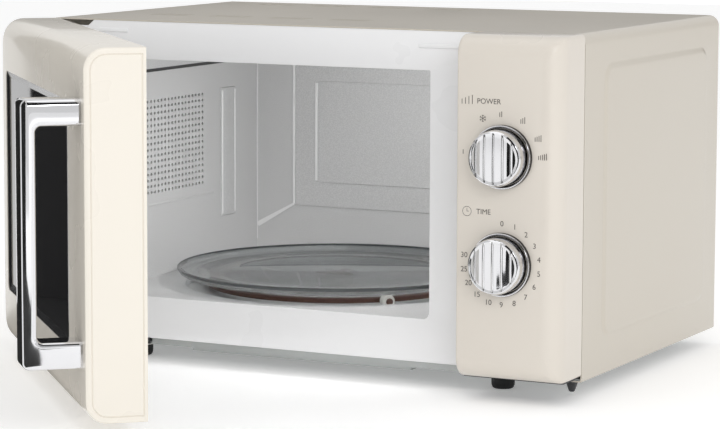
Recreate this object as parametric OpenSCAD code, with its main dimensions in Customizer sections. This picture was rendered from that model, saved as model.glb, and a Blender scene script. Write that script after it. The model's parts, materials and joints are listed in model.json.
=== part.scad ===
/* [Cabinet] */
// Overall width of the steel cabinet
body_w = 440; // [360:1:560]
// Depth of the cabinet behind the door
body_d = 272; // [220:1:420]
// Height of the cabinet without its feet
body_h = 245; // [200:1:330]
// Radius of the two long top edges
top_r = 8; // [4:0.5:14]
// How far the pressed side panels stand out
panel_rise = 1.5; // [1:0.1:3]
// Thickness of the folded sheet steel
sheet_t = 1; // [0.8:0.1:1.6]
// Height of the feet under the cabinet
foot_h = 12.5; // [8:0.5:24]

/* [Oven cavity] */
// Cavity wall set in from the hinge side of the cabinet
cavity_inset = 36; // [28:1:50]
// Width of the front plate between cavity and control panel
bay_margin = 40; // [30:1:60]
// Height of the cavity floor above the cabinet base
floor_z = 36; // [32:1:50]
// Space above the cavity ceiling
ceiling_gap = 29.3; // [20:0.1:45]
// Columns of holes in the lamp grille
vent_cols = 18; // [8:1:22]
// Rows of holes in the lamp grille
vent_rows = 16; // [6:1:18]

/* [Turntable] */
// Clearance between the glass plate and the nearest cavity wall
plate_margin = 5.5; // [4:0.5:20]
// Radius of the three rollers
roller_r = 5; // [4:0.5:6]
// Thickness of the glass plate
plate_t = 3.4; // [3:0.2:6]

/* [Door and control panel] */
// Thickness of the door and the control panel
door_t = 41; // [32:0.5:50]
// Width of the control panel
panel_w = 79; // [70:1:100]
// Gap between door and control panel
door_gap = 2; // [1:0.5:4]
// Gap between the shut door and the front of the cabinet
door_back_gap = 2.5; // [1.5:0.5:4]
// Front edge rounding of door and panel
front_r = 14.5; // [8:0.5:16]
// Rounding of the door's front edge at the hinge side
hinge_side_r = 8; // [5:0.5:16]
// Wall thickness of the moulded shells
shell_t = 2.5; // [2:0.1:3.5]
// Angle the door stands open at rest
door_angle = 48; // [0:1:95]
// How far the handle stands off the door
handle_reach = 39.5; // [32:0.5:55]
// Overall height of the handle
handle_h = 176; // [120:1:200]
// Width of the handle seen from the front
handle_w = 24; // [16:1:30]
// Height of the two handle legs
leg_h = 17.5; // [10:0.5:24]

/* [Knobs] */
// Radius of the two control knobs
knob_r = 19.6; // [14:0.2:20]
// Depth of the knobs in front of the panel
knob_d = 16.5; // [10:0.5:22]

/* [Hidden] */
$fn = 48;
eps = 0.5;
xl = -body_w / 2;
xr = body_w / 2;
panel_x = xr - panel_w;
cav_x0 = xl + cavity_inset;
cav_x1 = panel_x - bay_margin;
cav_z1 = body_h - ceiling_gap;
cav_y1 = body_d - 8;
cav_w = cav_x1 - cav_x0;
cav_d = cav_y1 - sheet_t;
cav_h = cav_z1 - floor_z;
tt_x = (cav_x0 + cav_x1) / 2;
tt_y = (cav_y1 + sheet_t) / 2 + 3;
plate_r = min(cav_w, cav_d) / 2 - plate_margin;
track_r = plate_r - 18;
recess_r = plate_r - 7;
recess_z = floor_z - 4.5;
roller_z = recess_z + roller_r;
plate_z = recess_z + 2 * roller_r + 0.3;
coupler_hub_r = 7;
bezel_r = knob_r + 2.7;
shaft_r = 3;
roller_angles = [77, 197, 317];
fit = 0.06;
bay_x0 = cav_x1 + sheet_t;
bay_xm = (bay_x0 + xr - sheet_t) / 2;
back_y = -door_back_gap;
panel_back = -1;
face_y = back_y - door_t;
door_x0 = xl + 0.5;
door_x1 = panel_x - door_gap;
door_z0 = 0.7;
door_z1 = body_h + 0.7;
hinge_r = 4.5;
hinge_x = door_x0 + hinge_r;
hinge_y = back_y - hinge_r;
pin_r = 2.2;
arm_t = 3;
washer_t = 4;
notch_h = 5;
hinge_zs = [16, body_h - 14];
win_x0 = door_x0 + 22.5;
win_x1 = door_x1 - 63;
win_z0 = 41;
win_z1 = body_h - 38;
handle_z = (door_z0 + door_z1) / 2 + 1;
handle_x1 = door_x1 - 10;
handle_x0 = handle_x1 - handle_w;
handle_bar = 10;
handle_y0 = face_y - handle_reach;
knob_x = panel_x + panel_w * 0.456;
power_z = body_h * 0.659;
timer_z = body_h * 0.353;
unit_y = face_y + shell_t;
guide_z = body_h * 0.59;
guide_y = body_d * 0.55;
fan_z = body_h - 62;
fan_r = 43;
fan_y = body_d - 34;
cap_y = body_d * 0.72;
lamp_z = body_h - 60;

module place() {
  translate([0, -body_d / 2, foot_h]) children();
}

module on_door() {
  place()
    translate([hinge_x, hinge_y, 0])
      rotate([0, 0, -door_angle])
        translate([-hinge_x, -hinge_y, 0]) children();
}

module block(x0, x1, y0, y1, z0, z1) {
  translate([x0, y0, z0]) cube([x1 - x0, y1 - y0, z1 - z0]);
}

module rounded(x0, y0, x1, y1, r) {
  translate([x0 + r, y0]) square([x1 - x0 - 2 * r, y1 - y0]);
  translate([x0, y0 + r]) square([x1 - x0, y1 - y0 - 2 * r]);
  for (x = [x0 + r, x1 - r], y = [y0 + r, y1 - r])
    translate([x, y]) circle(r = r);
}

// Rod lying along the depth axis, from y0 back to y1
module rod_y(x, z, y0, y1, r) {
  translate([x, y1, z]) rotate([90, 0, 0]) cylinder(h = y1 - y0, r = r);
}

// Flat outline in width and height, extruded from y0 back to y1
module sheet_y(y0, y1) {
  translate([0, y1, 0]) rotate([90, 0, 0]) linear_extrude(height = y1 - y0) children();
}

// Outline in depth and height, extruded across the width
module sheet_x(x0, x1) {
  translate([x0, 0, 0]) rotate([90, 0, 90]) linear_extrude(height = x1 - x0) children();
}

module wrap_outline(inset) {
  r = top_r - inset;
  translate([xl + inset, 0]) square([body_w - 2 * inset, body_h - inset - r]);
  translate([xl + inset + r, 0]) square([body_w - 2 * inset - 2 * r, body_h - inset]);
  for (s = [-1, 1])
    translate([s * (xr - inset - r), body_h - inset - r]) circle(r = r);
}

module side_emboss(grow, x0, x1) {
  sheet_x(x0, x1)
    rounded(35 - grow, 25 - grow, body_d - 25 + grow, body_h - 22 + grow, 12 + grow);
}

module outer_cabinet() {
  color("#d2cbbf") place() difference() {
    union() {
      sheet_y(0, body_d) wrap_outline(0);
      side_emboss(0, xl - panel_rise, xr + panel_rise);
    }
    sheet_y(-eps, body_d + eps) wrap_outline(sheet_t);
    side_emboss(-sheet_t, xl - panel_rise + sheet_t, xr + panel_rise - sheet_t);
    block(xl + 5, xr - 5, -eps, body_d + eps, -eps, sheet_t);
    for (g = [0:3], row = [0, 1], k = [-1, 0, 1])
      translate([xl + 65 + g * body_w * 0.117 - 16.5, (row ? body_d - 27 : 75) + k * 6 - 1,
                 body_h - 3 * sheet_t])
        cube([33, 2, 4 * sheet_t]);
  }
}

module rear_panel() {
  color("#c4bfb6") place() difference() {
    sheet_y(body_d - sheet_t, body_d) wrap_outline(sheet_t);
    block(xl, xr, body_d - 2 * sheet_t, body_d + eps, -eps, sheet_t);
    for (i = [-5:5], k = [-3:3])
      rod_y(bay_xm + i * 7, fan_z + k * 9, body_d - 2, body_d + 1, 2.4);
    for (i = [0:9])
      block(cav_x0 + 30 + i * 9, cav_x0 + 33 + i * 9, body_d - 2, body_d + 1,
            body_h - 45, body_h - 20);
    rod_y(bay_xm, 40, body_d - 2, body_d + 1, 7);
  }
}

module base_plate() {
  pan_x0 = xl + 122;
  pan_x1 = panel_x - 56;
  pan_y1 = body_d - 42;
  color("#bec1c0") place() difference() {
    union() {
      block(xl + sheet_t, xr - sheet_t, sheet_t, body_d - sheet_t, sheet_t, 2 * sheet_t);
      block(xl + 90, panel_x, 0, sheet_t, 0, 4.4);
      block(xl + 5, xr - 5, sheet_t, body_d - sheet_t, 0, sheet_t);
      block(pan_x0, pan_x1, 5, pan_y1, -3, sheet_t);
    }
    block(pan_x0 + sheet_t, pan_x1 - sheet_t, 5 + sheet_t, pan_y1 - sheet_t, -2, 3 * sheet_t);
    for (i = [-4:4], k = [-1:1])
      translate([bay_xm + i * 8, body_d - 62 + k * 8, -1]) cylinder(h = 4, r = 2.2);
  }
}

module front_plate() {
  color("#dcdcdc") place() difference() {
    sheet_y(0, sheet_t) wrap_outline(sheet_t);
    block(xl, xr, -eps, 2, -eps, 4.4);
    sheet_y(-eps, 2) {
      translate([cav_x0, floor_z + 5]) square([cav_w, cav_h - 5]);
      translate([cav_x0, floor_z]) square([cav_w - 5, 6]);
      translate([cav_x1 - 5, floor_z + 5]) circle(r = 5);
      polygon([[xl, body_h - 5], [xl + 34, body_h - 5], [xl + 40, body_h], [xl, body_h]]);
    }
    block(panel_x + 10, xr - 10, -eps, 2, 20, body_h - 20);
  }
}

module cavity_shell() {
  t = sheet_t;
  color("#b9b9b9") place() difference() {
    union() {
      block(cav_x0, cav_x1, t, cav_y1 + t, floor_z - t, floor_z);
      block(cav_x0, cav_x1, t, cav_y1 + t, cav_z1, cav_z1 + t);
      block(cav_x0, cav_x1, cav_y1, cav_y1 + t, floor_z - t, cav_z1 + t);
      translate([tt_x, tt_y, recess_z - t]) cylinder(h = 4.5, r = recess_r + t, $fn = 96);
    }
    translate([tt_x, tt_y, recess_z]) cylinder(h = 6, r = recess_r, $fn = 96);
    translate([tt_x, tt_y, recess_z - 3]) cylinder(h = 6, r = 4.5);
  }
}

module cavity_left_wall() {
  pitch_y = 92 / 17;
  pitch_z = 72 / 15;
  color("#b4b4b4") place()
    sheet_x(cav_x0 - sheet_t, cav_x0) difference() {
      translate([sheet_t, floor_z - sheet_t]) square([cav_d + sheet_t, cav_h + 2 * sheet_t]);
      for (i = [0:vent_cols - 1], k = [0:vent_rows - 1])
        translate([cav_y1 * 0.477 + (i - (vent_cols - 1) / 2) * pitch_y,
                   floor_z + cav_h * 0.573 + (k - (vent_rows - 1) / 2) * pitch_z])
          circle(r = 1.3, $fn = 16);
    }
}

module cavity_right_wall() {
  color("#b4b4b4") place()
    sheet_x(cav_x1, cav_x1 + sheet_t) difference() {
      translate([sheet_t, floor_z - sheet_t]) square([cav_d + sheet_t, cav_h + 2 * sheet_t]);
      translate([guide_y - 30, guide_z - 16]) square([60, 32]);
      for (i = [0:4], k = [0:4])
        translate([40 + i * 6, lamp_z - 12 + k * 6]) circle(r = 1.4, $fn = 16);
    }
}

module waveguide_cover() {
  color("#c9bfa9") place() difference() {
    block(cav_x1 - 0.6, cav_x1, guide_y - 46, guide_y + 46, guide_z - 28, guide_z + 28);
    for (s = [-1, 1])
      translate([cav_x1 - 1, guide_y + s * 38, guide_z]) rotate([0, 90, 0]) cylinder(h = 2, r = 2);
  }
}

module waveguide() {
  color("#c0c2c4") place() difference() {
    union() {
      block(bay_x0, bay_x0 + 24, guide_y - 42, guide_y + 42, guide_z - 22, guide_z + 22);
      block(bay_x0, bay_x0 + 1, guide_y - 52, guide_y + 52, guide_z - 28, guide_z + 28);
    }
    block(bay_x0 - 1, bay_x0 + 23, guide_y - 41, guide_y + 41, guide_z - 21, guide_z + 21);
    translate([bay_x0 + 20, guide_y, guide_z]) rotate([0, 90, 0]) cylinder(h = 8, r = 9.5);
  }
}

module magnetron_body() {
  x0 = bay_x0 + 24;
  color("#b58a55") place() difference() {
    union() {
      block(x0, x0 + 1.5, guide_y - 38, guide_y + 38, guide_z - 34, guide_z + 34);
      block(x0 + 58, x0 + 59.5, guide_y - 38, guide_y + 38, guide_z - 34, guide_z + 34);
      for (s = [-1, 1])
        block(x0, x0 + 59.5, guide_y + s * 37.25 - 0.75, guide_y + s * 37.25 + 0.75,
              guide_z - 34, guide_z + 34);
      translate([x0 - 14, guide_y, guide_z]) rotate([0, 90, 0]) cylinder(h = 20, r = 8);
      translate([x0 + 1, guide_y, guide_z]) rotate([0, 90, 0]) cylinder(h = 58, r = 17);
      for (x = [1.5, 46])
        translate([x0 + x, guide_y, guide_z]) rotate([0, 90, 0]) cylinder(h = 12, r = 27);
      block(x0 + 59.5, x0 + 78, guide_y - 14, guide_y + 14, guide_z - 16, guide_z + 16);
    }
    translate([x0 - 15, guide_y, guide_z]) rotate([0, 90, 0]) cylinder(h = 8, r = 5);
  }
}

module magnetron_fins() {
  x0 = bay_x0 + 24;
  color("#c8c9cb") place()
    for (k = [0:5])
      difference() {
        block(x0 + 16 + k * 5, x0 + 17 + k * 5, guide_y - 36.5, guide_y + 36.5,
              guide_z - 31, guide_z + 31);
        translate([x0, guide_y, guide_z]) rotate([0, 90, 0]) cylinder(h = 60, r = 17);
      }
}

module transformer_core() {
  z0 = 2 * sheet_t;
  color("#4a4640") place() difference() {
    union() {
      block(bay_xm - 40, bay_xm + 40, 52, 112, z0 + 2, z0 + 56);
      block(bay_xm - 46, bay_xm + 46, 48, 116, z0, z0 + 2);
    }
    for (s = [-1, 1])
      block(bay_xm + s * 20 - 7, bay_xm + s * 20 + 7, 51, 113, z0 + 12, z0 + 46);
  }
}

module transformer_coils() {
  z0 = 2 * sheet_t;
  color("#a9602f") place()
    for (z = [13, 31])
      difference() {
        block(bay_xm - 26, bay_xm + 26, 42, 122, z0 + z, z0 + z + 14);
        block(bay_xm - 13, bay_xm + 13, 51.5, 112.5, z0 + z - 1, z0 + z + 15);
        for (s = [-1, 1])
          block(bay_xm + s * 40 - 13, bay_xm + s * 40 + 13, 51.5, 112.5, z0 + z - 1, z0 + z + 15);
      }
}

module capacitor_outline(grow) {
  square([36 + 2 * grow, 32 + 2 * grow], center = true);
  for (s = [-1, 1])
    translate([s * 18, 0]) circle(r = 16 + grow);
}

module hv_capacitor() {
  z0 = 2 * sheet_t + 3;
  color("#b9bcbd") place() translate([bay_xm, cap_y, z0]) {
    linear_extrude(height = 62) capacitor_outline(0);
    for (s = [-1, 1])
      translate([s * 14, 0, 62]) {
        cylinder(h = 6, r = 5);
        translate([-0.4, -3, 6]) cube([0.8, 6, 9]);
      }
  }
}

module capacitor_bracket() {
  z0 = 2 * sheet_t + 3;
  color("#9a9c9d") place() translate([bay_xm, cap_y, z0]) {
    translate([0, 0, 28]) linear_extrude(height = 12) difference() {
      capacitor_outline(1);
      capacitor_outline(0);
    }
    translate([-20, -21.5, -3]) cube([40, 4.5, 1]);
    translate([-20, -18, -3]) cube([40, 1, 43]);
  }
}

module hv_diode() {
  color("#2b2b2d") place() translate([bay_x0 + 12, cap_y - 6, 2 * sheet_t]) {
    translate([0, 0, 3]) rotate([-90, 0, 0]) cylinder(h = 16, r = 3);
    translate([-1, 4, 0]) cube([2, 8, 3]);
  }
}

module fan_shroud() {
  color("#e3e1da") place() difference() {
    union() {
      block(bay_xm - 50, bay_xm + 50, fan_y, fan_y + 2, fan_z - 50, fan_z + 50);
      rod_y(bay_xm, fan_z, fan_y, fan_y + 24, fan_r + 5);
    }
    rod_y(bay_xm, fan_z, fan_y - 1, fan_y + 22, fan_r + 3);
    for (a = [0:90:270])
      translate([bay_xm, fan_y + 24.5, fan_z]) rotate([90, 0, 0])
        rotate([0, 0, a + 45]) translate([10, -13, 0]) cube([29, 26, 4]);
  }
}

module fan_motor() {
  color("#8c8f92") place() difference() {
    union() {
      rod_y(bay_xm, fan_z, fan_y + 12, fan_y + 22, 15);
      block(bay_xm - 20, bay_xm + 20, fan_y + 14, fan_y + 20, fan_z - 12, fan_z + 12);
    }
    rod_y(bay_xm, fan_z, fan_y + 11, fan_y + 20, 1.5 + fit);
  }
}

module fan_blade() {
  color("#d9d7cf") place() {
    rod_y(bay_xm, fan_z, fan_y + 1, fan_y + 11, 9);
    rod_y(bay_xm, fan_z, fan_y + 1, fan_y + 19, 1.5);
    for (a = [0:72:288])
      translate([bay_xm, fan_y + 6, fan_z]) rotate([0, a, 0]) rotate([28, 0, 0])
        translate([4, -0.8, -6.5]) cube([fan_r - 5, 1.6, 13]);
  }
}

module lamp_holder() {
  color("#e8e6df") place()
    translate([bay_x0, 52, lamp_z]) {
      difference() {
        translate([0, -16, -16]) cube([34, 32, 32]);
        translate([-1, -14.5, -14.5]) cube([33.5, 29, 29]);
      }
      translate([20, 0, 0]) rotate([0, 90, 0]) cylinder(h = 13, r = 8);
    }
}

module lamp_bulb() {
  color("#f1ead6") place()
    translate([bay_x0 + 12.5, 52, lamp_z]) {
      rotate([0, 90, 0]) cylinder(h = 7.5, r = 5);
      translate([-12, 0, 0]) rotate([0, 90, 0]) cylinder(h = 12, r = 7);
    }
}

module filter_board() {
  color("#2f5a3a") place()
    block(bay_x0 + 4, bay_x0 + 44, body_d - 8, body_d - 6.4, 66, 106);
}

module filter_choke() {
  color("#a9602f") place() {
    for (x = [12, 32])
      rod_y(bay_x0 + 4 + x - 4, 94, body_d - 20, body_d - 8, 6);
    block(bay_x0 + 12, bay_x0 + 34, body_d - 18, body_d - 8, 70, 82);
    for (x = [8, 40], z = [69, 103])
      rod_y(bay_x0 + x, z, body_d - 6.4, body_d - 1, 2);
  }
}

module thermal_cutout() {
  color("#23201e") place()
    translate([cav_x0 + 60, body_d * 0.5, cav_z1 + sheet_t]) {
      cylinder(h = 6, r = 8);
      translate([-12, -4, 0]) cube([24, 8, 1]);
    }
}

module turntable_motor() {
  color("#b4b6b8") place() translate([tt_x, tt_y, recess_z - sheet_t - 18]) difference() {
    union() {
      cylinder(h = 16, r = 24);
      cylinder(h = 18, r = 6);
      translate([-29, -5, 15]) cube([58, 10, 3]);
    }
    translate([0, 0, 4]) cylinder(h = 16, r = shaft_r + fit);
  }
}

module catch_plate() {
  color("#8a8d8f") place()
    block(door_x1 - 24, door_x1 - 10, sheet_t, 3, body_h / 2 - 18, body_h / 2 + 18);
}

module reed_switch() {
  color("#33302e") place()
    for (z = [-34, 26])
      block(door_x1 - 22, door_x1 - 12, sheet_t, 9, body_h / 2 + z, body_h / 2 + z + 8);
}

module timer_unit() {
  color("#c9cbcd") place() difference() {
    union() {
      block(knob_x - 22, knob_x + 22, unit_y, unit_y + 28, timer_z - 24, timer_z + 24);
      block(knob_x - 24, knob_x + 24, unit_y, unit_y + 1.5, timer_z - 28, timer_z + 28);
    }
    rod_y(knob_x, timer_z, unit_y - 1, unit_y + 16, shaft_r + fit);
  }
}

module timer_bell() {
  color("#b9a36a") place() {
    rod_y(knob_x, timer_z, unit_y + 28, unit_y + 32, 14);
    rod_y(knob_x, timer_z, unit_y + 32, unit_y + 33.5, 3);
  }
}

module power_selector() {
  color("#6d5a44") place() difference() {
    union() {
      block(knob_x - 18, knob_x + 18, unit_y, unit_y + 20, power_z - 18, power_z + 18);
      block(knob_x - 22, knob_x + 22, unit_y, unit_y + 1.5, power_z - 24, power_z + 24);
      for (s = [-1, 1])
        block(knob_x + s * 9 - 0.4, knob_x + s * 9 + 0.4, unit_y + 20, unit_y + 27,
              power_z - 12, power_z - 6);
    }
    rod_y(knob_x, power_z, unit_y - 1, unit_y + 14, shaft_r + fit);
  }
}

// Solid with rounded front edges back to y1; left and right set how round the two ends are
module front_body(x0, x1, y1, z0, z1, left, right, round) {
  depth = y1 - face_y;
  intersection() {
    sheet_x(x0, x1) {
      translate([face_y, z0 + round]) square([depth, z1 - z0 - 2 * round]);
      translate([face_y + round, z0]) square([depth - round, z1 - z0]);
      for (z = [z0 + round, z1 - round])
        translate([face_y + round, z]) circle(r = round);
    }
    translate([0, 0, z0 - 1]) linear_extrude(height = z1 - z0 + 2) {
      m = max(left, right);
      translate([x0, face_y + m]) square([x1 - x0, depth - m]);
      translate([x0 + left, face_y]) square([x1 - x0 - left - right, m + 1]);
      if (left < m) translate([x0, face_y + left]) square([left + 1, m - left + 1]);
      if (right < m) translate([x1 - right - 1, face_y + right]) square([right + 1, m - right + 1]);
      translate([x0 + left, face_y + left]) circle(r = left);
      translate([x1 - right, face_y + right]) circle(r = right);
    }
  }
}

// Pocket that leaves a wall of shell_t on all sides but the back
module front_pocket(x0, x1, z0, z1) {
  t = shell_t;
  r = front_r - t;
  intersection() {
    sheet_x(x0 + t, x1 - t) {
      translate([face_y + t, z0 + t + r]) square([door_t + 1, z1 - z0 - 2 * t - 2 * r]);
      translate([face_y + t + r, z0 + t]) square([door_t + 1 - r, z1 - z0 - 2 * t]);
      for (z = [z0 + t + r, z1 - t - r])
        translate([face_y + t + r, z]) circle(r = r);
    }
    block(x0, x1, face_y + t, back_y + 2, z0, z1);
  }
}

module control_panel() {
  z0 = 4;
  z1 = body_h;
  color("#e8e2da") place() difference() {
    front_body(panel_x, xr, panel_back, z0, z1, 2, front_r, front_r);
    difference() {
      front_pocket(panel_x, xr, z0, z1);
      block(xr - front_r - 1, xr, face_y, face_y + front_r + 1, z0, z1);
    }
    for (z = [power_z, timer_z])
      rod_y(knob_x, z, face_y - 1, face_y + shell_t + 1, shaft_r + 1.5);
  }
}

module knob_bezels() {
  color("#d5d6d8") place()
    for (z = [power_z, timer_z])
      translate([knob_x, face_y, z]) rotate([90, 0, 0]) rotate_extrude($fn = 72)
        polygon([[knob_r + 0.3, 0], [bezel_r, 0], [bezel_r, 2.6], [bezel_r - 0.4, 3.4],
                 [bezel_r - 1.2, 3.8], [knob_r + 0.3, 3]]);
}

module knob(z) {
  place() difference() {
    union() {
      translate([knob_x, face_y - 0.4, z]) rotate([90, 0, 0]) rotate_extrude($fn = 72)
        polygon([[0, 0], [knob_r, 0], [knob_r, knob_d - 4], [knob_r - 1.3, knob_d - 1.2],
                 [knob_r - 3.2, knob_d], [0, knob_d]]);
      rod_y(knob_x, z, face_y - 2, face_y + shell_t + 14, shaft_r);
    }
    for (i = [-2:2])
      translate([knob_x + i * 6.4, face_y - 0.4 - knob_d - 1.2, z - knob_r - 2])
        cylinder(h = 2 * knob_r + 4, r = 2.6, $fn = 32);
  }
}

module timer_knob() {
  color("#d9dadc") knob(timer_z);
}

module power_knob() {
  color("#d9dadc") knob(power_z);
}

module hinge_arm(z) {
  block(hinge_x - 4.5, hinge_x + 4.5, hinge_y, 0, z + 1, z + 1 + arm_t);
  translate([hinge_x, hinge_y, z + 1]) cylinder(h = arm_t, r = 4.5);
  translate([hinge_x, hinge_y, z - 7]) cylinder(h = 19, r = pin_r);
}

module hinge_upper() {
  z = hinge_zs[1];
  color("#5c5e60") place() {
    hinge_arm(z);
    block(hinge_x - 4.5, hinge_x + 4.5, -0.8, 0, z - 22, z + 4);
  }
}

module hinge_lower() {
  z = hinge_zs[0];
  color("#3c3d3f") place() {
    hinge_arm(z);
    block(hinge_x - 4.5, hinge_x + 4.5, -0.8, 0, z - 15, z + 20);
    block(xl + 2, xl + 88, -0.8, 1, 0, 4.4);
  }
}

module feet_spots(inset) {
  for (x = [-1, 1] * (xr - 69), y = [inset, body_d - 22])
    translate([x, y, 0]) children();
}

module rubber_feet() {
  color("#1d1d1e") place() feet_spots(20) difference() {
    union() {
      translate([0, 0, -foot_h]) cylinder(h = 2, r1 = 7.4, r2 = 8.5);
      translate([0, 0, 2 - foot_h]) cylinder(h = foot_h - 2 - washer_t, r = 8.5);
    }
    translate([0, 0, -foot_h - 1]) cylinder(h = 5, r = 3);
  }
}

module foot_washers() {
  color("#d8d8d6") place() feet_spots(20)
    translate([0, 0, -washer_t]) cylinder(h = washer_t, r = 9.5);
}

module corner_peg() {
  color("#3a3b3d") place() translate([xr - 9, 4, -7.5])
    cylinder(h = 7.5, r1 = 2.2, r2 = 4.8);
}

module cord_grommet() {
  color("#1b1b1c") place() difference() {
    union() {
      rod_y(bay_xm, 40, body_d - 4, body_d + 6, 7);
      rod_y(bay_xm, 40, body_d, body_d + 3, 9.5);
      rod_y(bay_xm, 40, body_d - 4, body_d - 1, 9);
    }
    rod_y(bay_xm, 40, body_d - 5, body_d + 7, 4.2);
  }
}

module cabinet_screws() {
  color("#9da0a2") place()
    for (x = [xl + 14, xr - 14], z = [16, body_h / 2, body_h - 14])
      difference() {
        rod_y(x, z, body_d, body_d + 2.2, 4);
        block(x - 3, x + 3, body_d + 1.2, body_d + 3, z - 0.5, z + 0.5);
        block(x - 0.5, x + 0.5, body_d + 1.2, body_d + 3, z - 3, z + 3);
      }
}

module turntable_coupler() {
  top = plate_z - 0.5;
  color("#5b4636") place() translate([tt_x, tt_y, 0]) {
    translate([0, 0, recess_z - sheet_t - 13]) cylinder(h = 16, r = shaft_r);
    translate([0, 0, recess_z + 1]) cylinder(h = top - recess_z - 1, r = coupler_hub_r);
    for (a = [90, 210, 330])
      rotate([0, 0, a]) translate([0, -3, recess_z + 4]) cube([17, 6, top - recess_z - 4]);
  }
}

module glass_plate() {
  rise = 7.6;
  t = plate_t;
  color([0.8, 0.84, 0.84, 0.5]) place() translate([tt_x, tt_y, plate_z]) {
    rotate_extrude($fn = 144)
      polygon([[0, 0], [plate_r - 12, 0], [plate_r - 4, 1.6], [plate_r, rise - 1.6],
               [plate_r, rise], [plate_r - 2.6, rise], [plate_r - 6, t + 1.2],
               [plate_r - 13, t], [0, t]]);
    for (a = [30, 150, 270])
      rotate([0, 0, a]) translate([12.5, 0, -2.6]) cylinder(h = 3, r = 3);
  }
}

module roller_ring() {
  z = roller_z;
  color("#4a2f22") place() translate([tt_x, tt_y, z]) {
    translate([0, 0, -1.6]) difference() {
      cylinder(h = 3.2, r = track_r - 6, $fn = 96);
      translate([0, 0, -1]) cylinder(h = 6, r = track_r - 14, $fn = 96);
    }
    for (a = roller_angles)
      rotate([0, 0, a]) {
        translate([track_r - 8, 0, 0]) rotate([0, 90, 0]) cylinder(h = 12.5, r = 1.5);
        translate([track_r + 4, 0, 0]) rotate([0, 90, 0]) cylinder(h = 2, r = 2.6);
      }
  }
}

module roller(a) {
  color("#e9e7e2") place() translate([tt_x, tt_y, roller_z]) rotate([0, 0, a])
    translate([track_r - 3.5, 0, 0]) rotate([0, 90, 0]) difference() {
      cylinder(h = 7, r = roller_r);
      translate([0, 0, -1]) cylinder(h = 9, r = 1.5 + fit);
    }
}

module roller_1() {
  roller(roller_angles[0]);
}

module roller_2() {
  roller(roller_angles[1]);
}

module roller_3() {
  roller(roller_angles[2]);
}

module door_shell() {
  inner = 6;
  color("#eae5dc") on_door() difference() {
    front_body(door_x0, door_x1, back_y, door_z0, door_z1, hinge_side_r, 2.5, front_r);
    difference() {
      front_pocket(door_x0, door_x1, door_z0, door_z1);
      block(door_x0, door_x0 + front_r + 1, face_y, back_y + 3, door_z0, door_z1);
    }
    block(win_x0, win_x1, face_y - 1, face_y + inner, win_z0, win_z1);
    difference() {
      block(door_x0 - 1, hinge_x, hinge_y, back_y + 1, door_z0 - 1, door_z1 + 1);
      translate([hinge_x, hinge_y, door_z0 - 1])
        cylinder(h = door_z1 - door_z0 + 2, r = hinge_r);
    }
    for (z = hinge_zs) {
      block(door_x0 - 1, hinge_x + 6, hinge_y - 6, back_y + 1, z, z + notch_h);
      translate([hinge_x, hinge_y, z - 8]) cylinder(h = 22, r = pin_r + fit);
    }
    for (z = [handle_z - handle_h / 2 + leg_h / 2, handle_z + handle_h / 2 - leg_h / 2])
      rod_y((handle_x0 + handle_x1) / 2, z, face_y - 1, face_y + shell_t + 1, 2.1);
  }
}

module window_bezel() {
  color("#2a2a2c") on_door() difference() {
    block(win_x0, win_x1, face_y + 0.4, face_y + 6, win_z0, win_z1);
    block(win_x0 + 5, win_x1 - 5, face_y - 1, face_y + 7, win_z0 + 5, win_z1 - 5);
    block(win_x1 - 2.6, win_x1 + 1, face_y - 1, face_y + 2.4, win_z0 - 1, win_z1 + 1);
    block(win_x0 + 2.5, win_x1 - 4, face_y + 2.4, face_y + 7, win_z0 + 2.5, win_z1 - 2.5);
  }
}

module window_trim() {
  color("#d9dadb") on_door()
    block(win_x1 - 2.6, win_x1, face_y + 0.1, face_y + 2.4, win_z0, win_z1);
}

module window_glass() {
  color([0.16, 0.16, 0.17, 0.9]) on_door()
    block(win_x0 + 2.5, win_x1 - 4, face_y + 2.4, face_y + 5.4, win_z0 + 2.5, win_z1 - 2.5);
}

module door_frame() {
  y0 = back_y - 10;
  color("#dedede") on_door() difference() {
    union() {
      block(door_x0 + 20, door_x1 - shell_t, y0, y0 + 1, door_z0 + 5, door_z1 - 5);
      difference() {
        block(cav_x0 + 2, cav_x1 - 2, y0, y0 + 6, floor_z + 2, cav_z1 - 2);
        block(cav_x0 + 3, cav_x1 - 3, y0 - 1, y0 + 7, floor_z + 3, cav_z1 - 3);
      }
    }
    block(cav_x0 + 12, cav_x1 - 12, y0 - 1, y0 + 2, floor_z + 12, cav_z1 - 12);
    for (k = [-7:7])
      block(cav_x1 + 8, cav_x1 + 14, y0 - 1, y0 + 2, body_h / 2 + k * 13 - 4,
            body_h / 2 + k * 13 + 4);
  }
}

module door_screen() {
  y0 = back_y - 10;
  color("#3a3a3c") on_door()
    block(cav_x0 + 6, cav_x1 - 6, y0 - 0.5, y0, floor_z + 6, cav_z1 - 6);
}

module inner_cover() {
  y0 = back_y - 2;
  color("#d4d3cf") on_door() difference() {
    block(door_x0 + 15.5, door_x1 - shell_t, y0, back_y, door_z0 + shell_t, door_z1 - shell_t);
    block(cav_x0 + 14, cav_x1 - 14, y0 - 1, back_y + 1, floor_z + 14, cav_z1 - 14);
    for (z = hinge_zs)
      block(door_x0, hinge_x + 8, y0 - 1, back_y + 1, z, z + notch_h);
  }
}

module inner_film() {
  y0 = back_y - 2.6;
  color([0.75, 0.77, 0.78, 0.5]) on_door()
    block(cav_x0 + 10, cav_x1 - 10, y0, y0 + 0.6, floor_z + 10, cav_z1 - 10);
}

module door_magnet() {
  color("#77797b") on_door()
    block(door_x1 - 24, door_x1 - 10, back_y - 6, back_y - 2, body_h / 2 - 18, body_h / 2 + 18);
}

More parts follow.
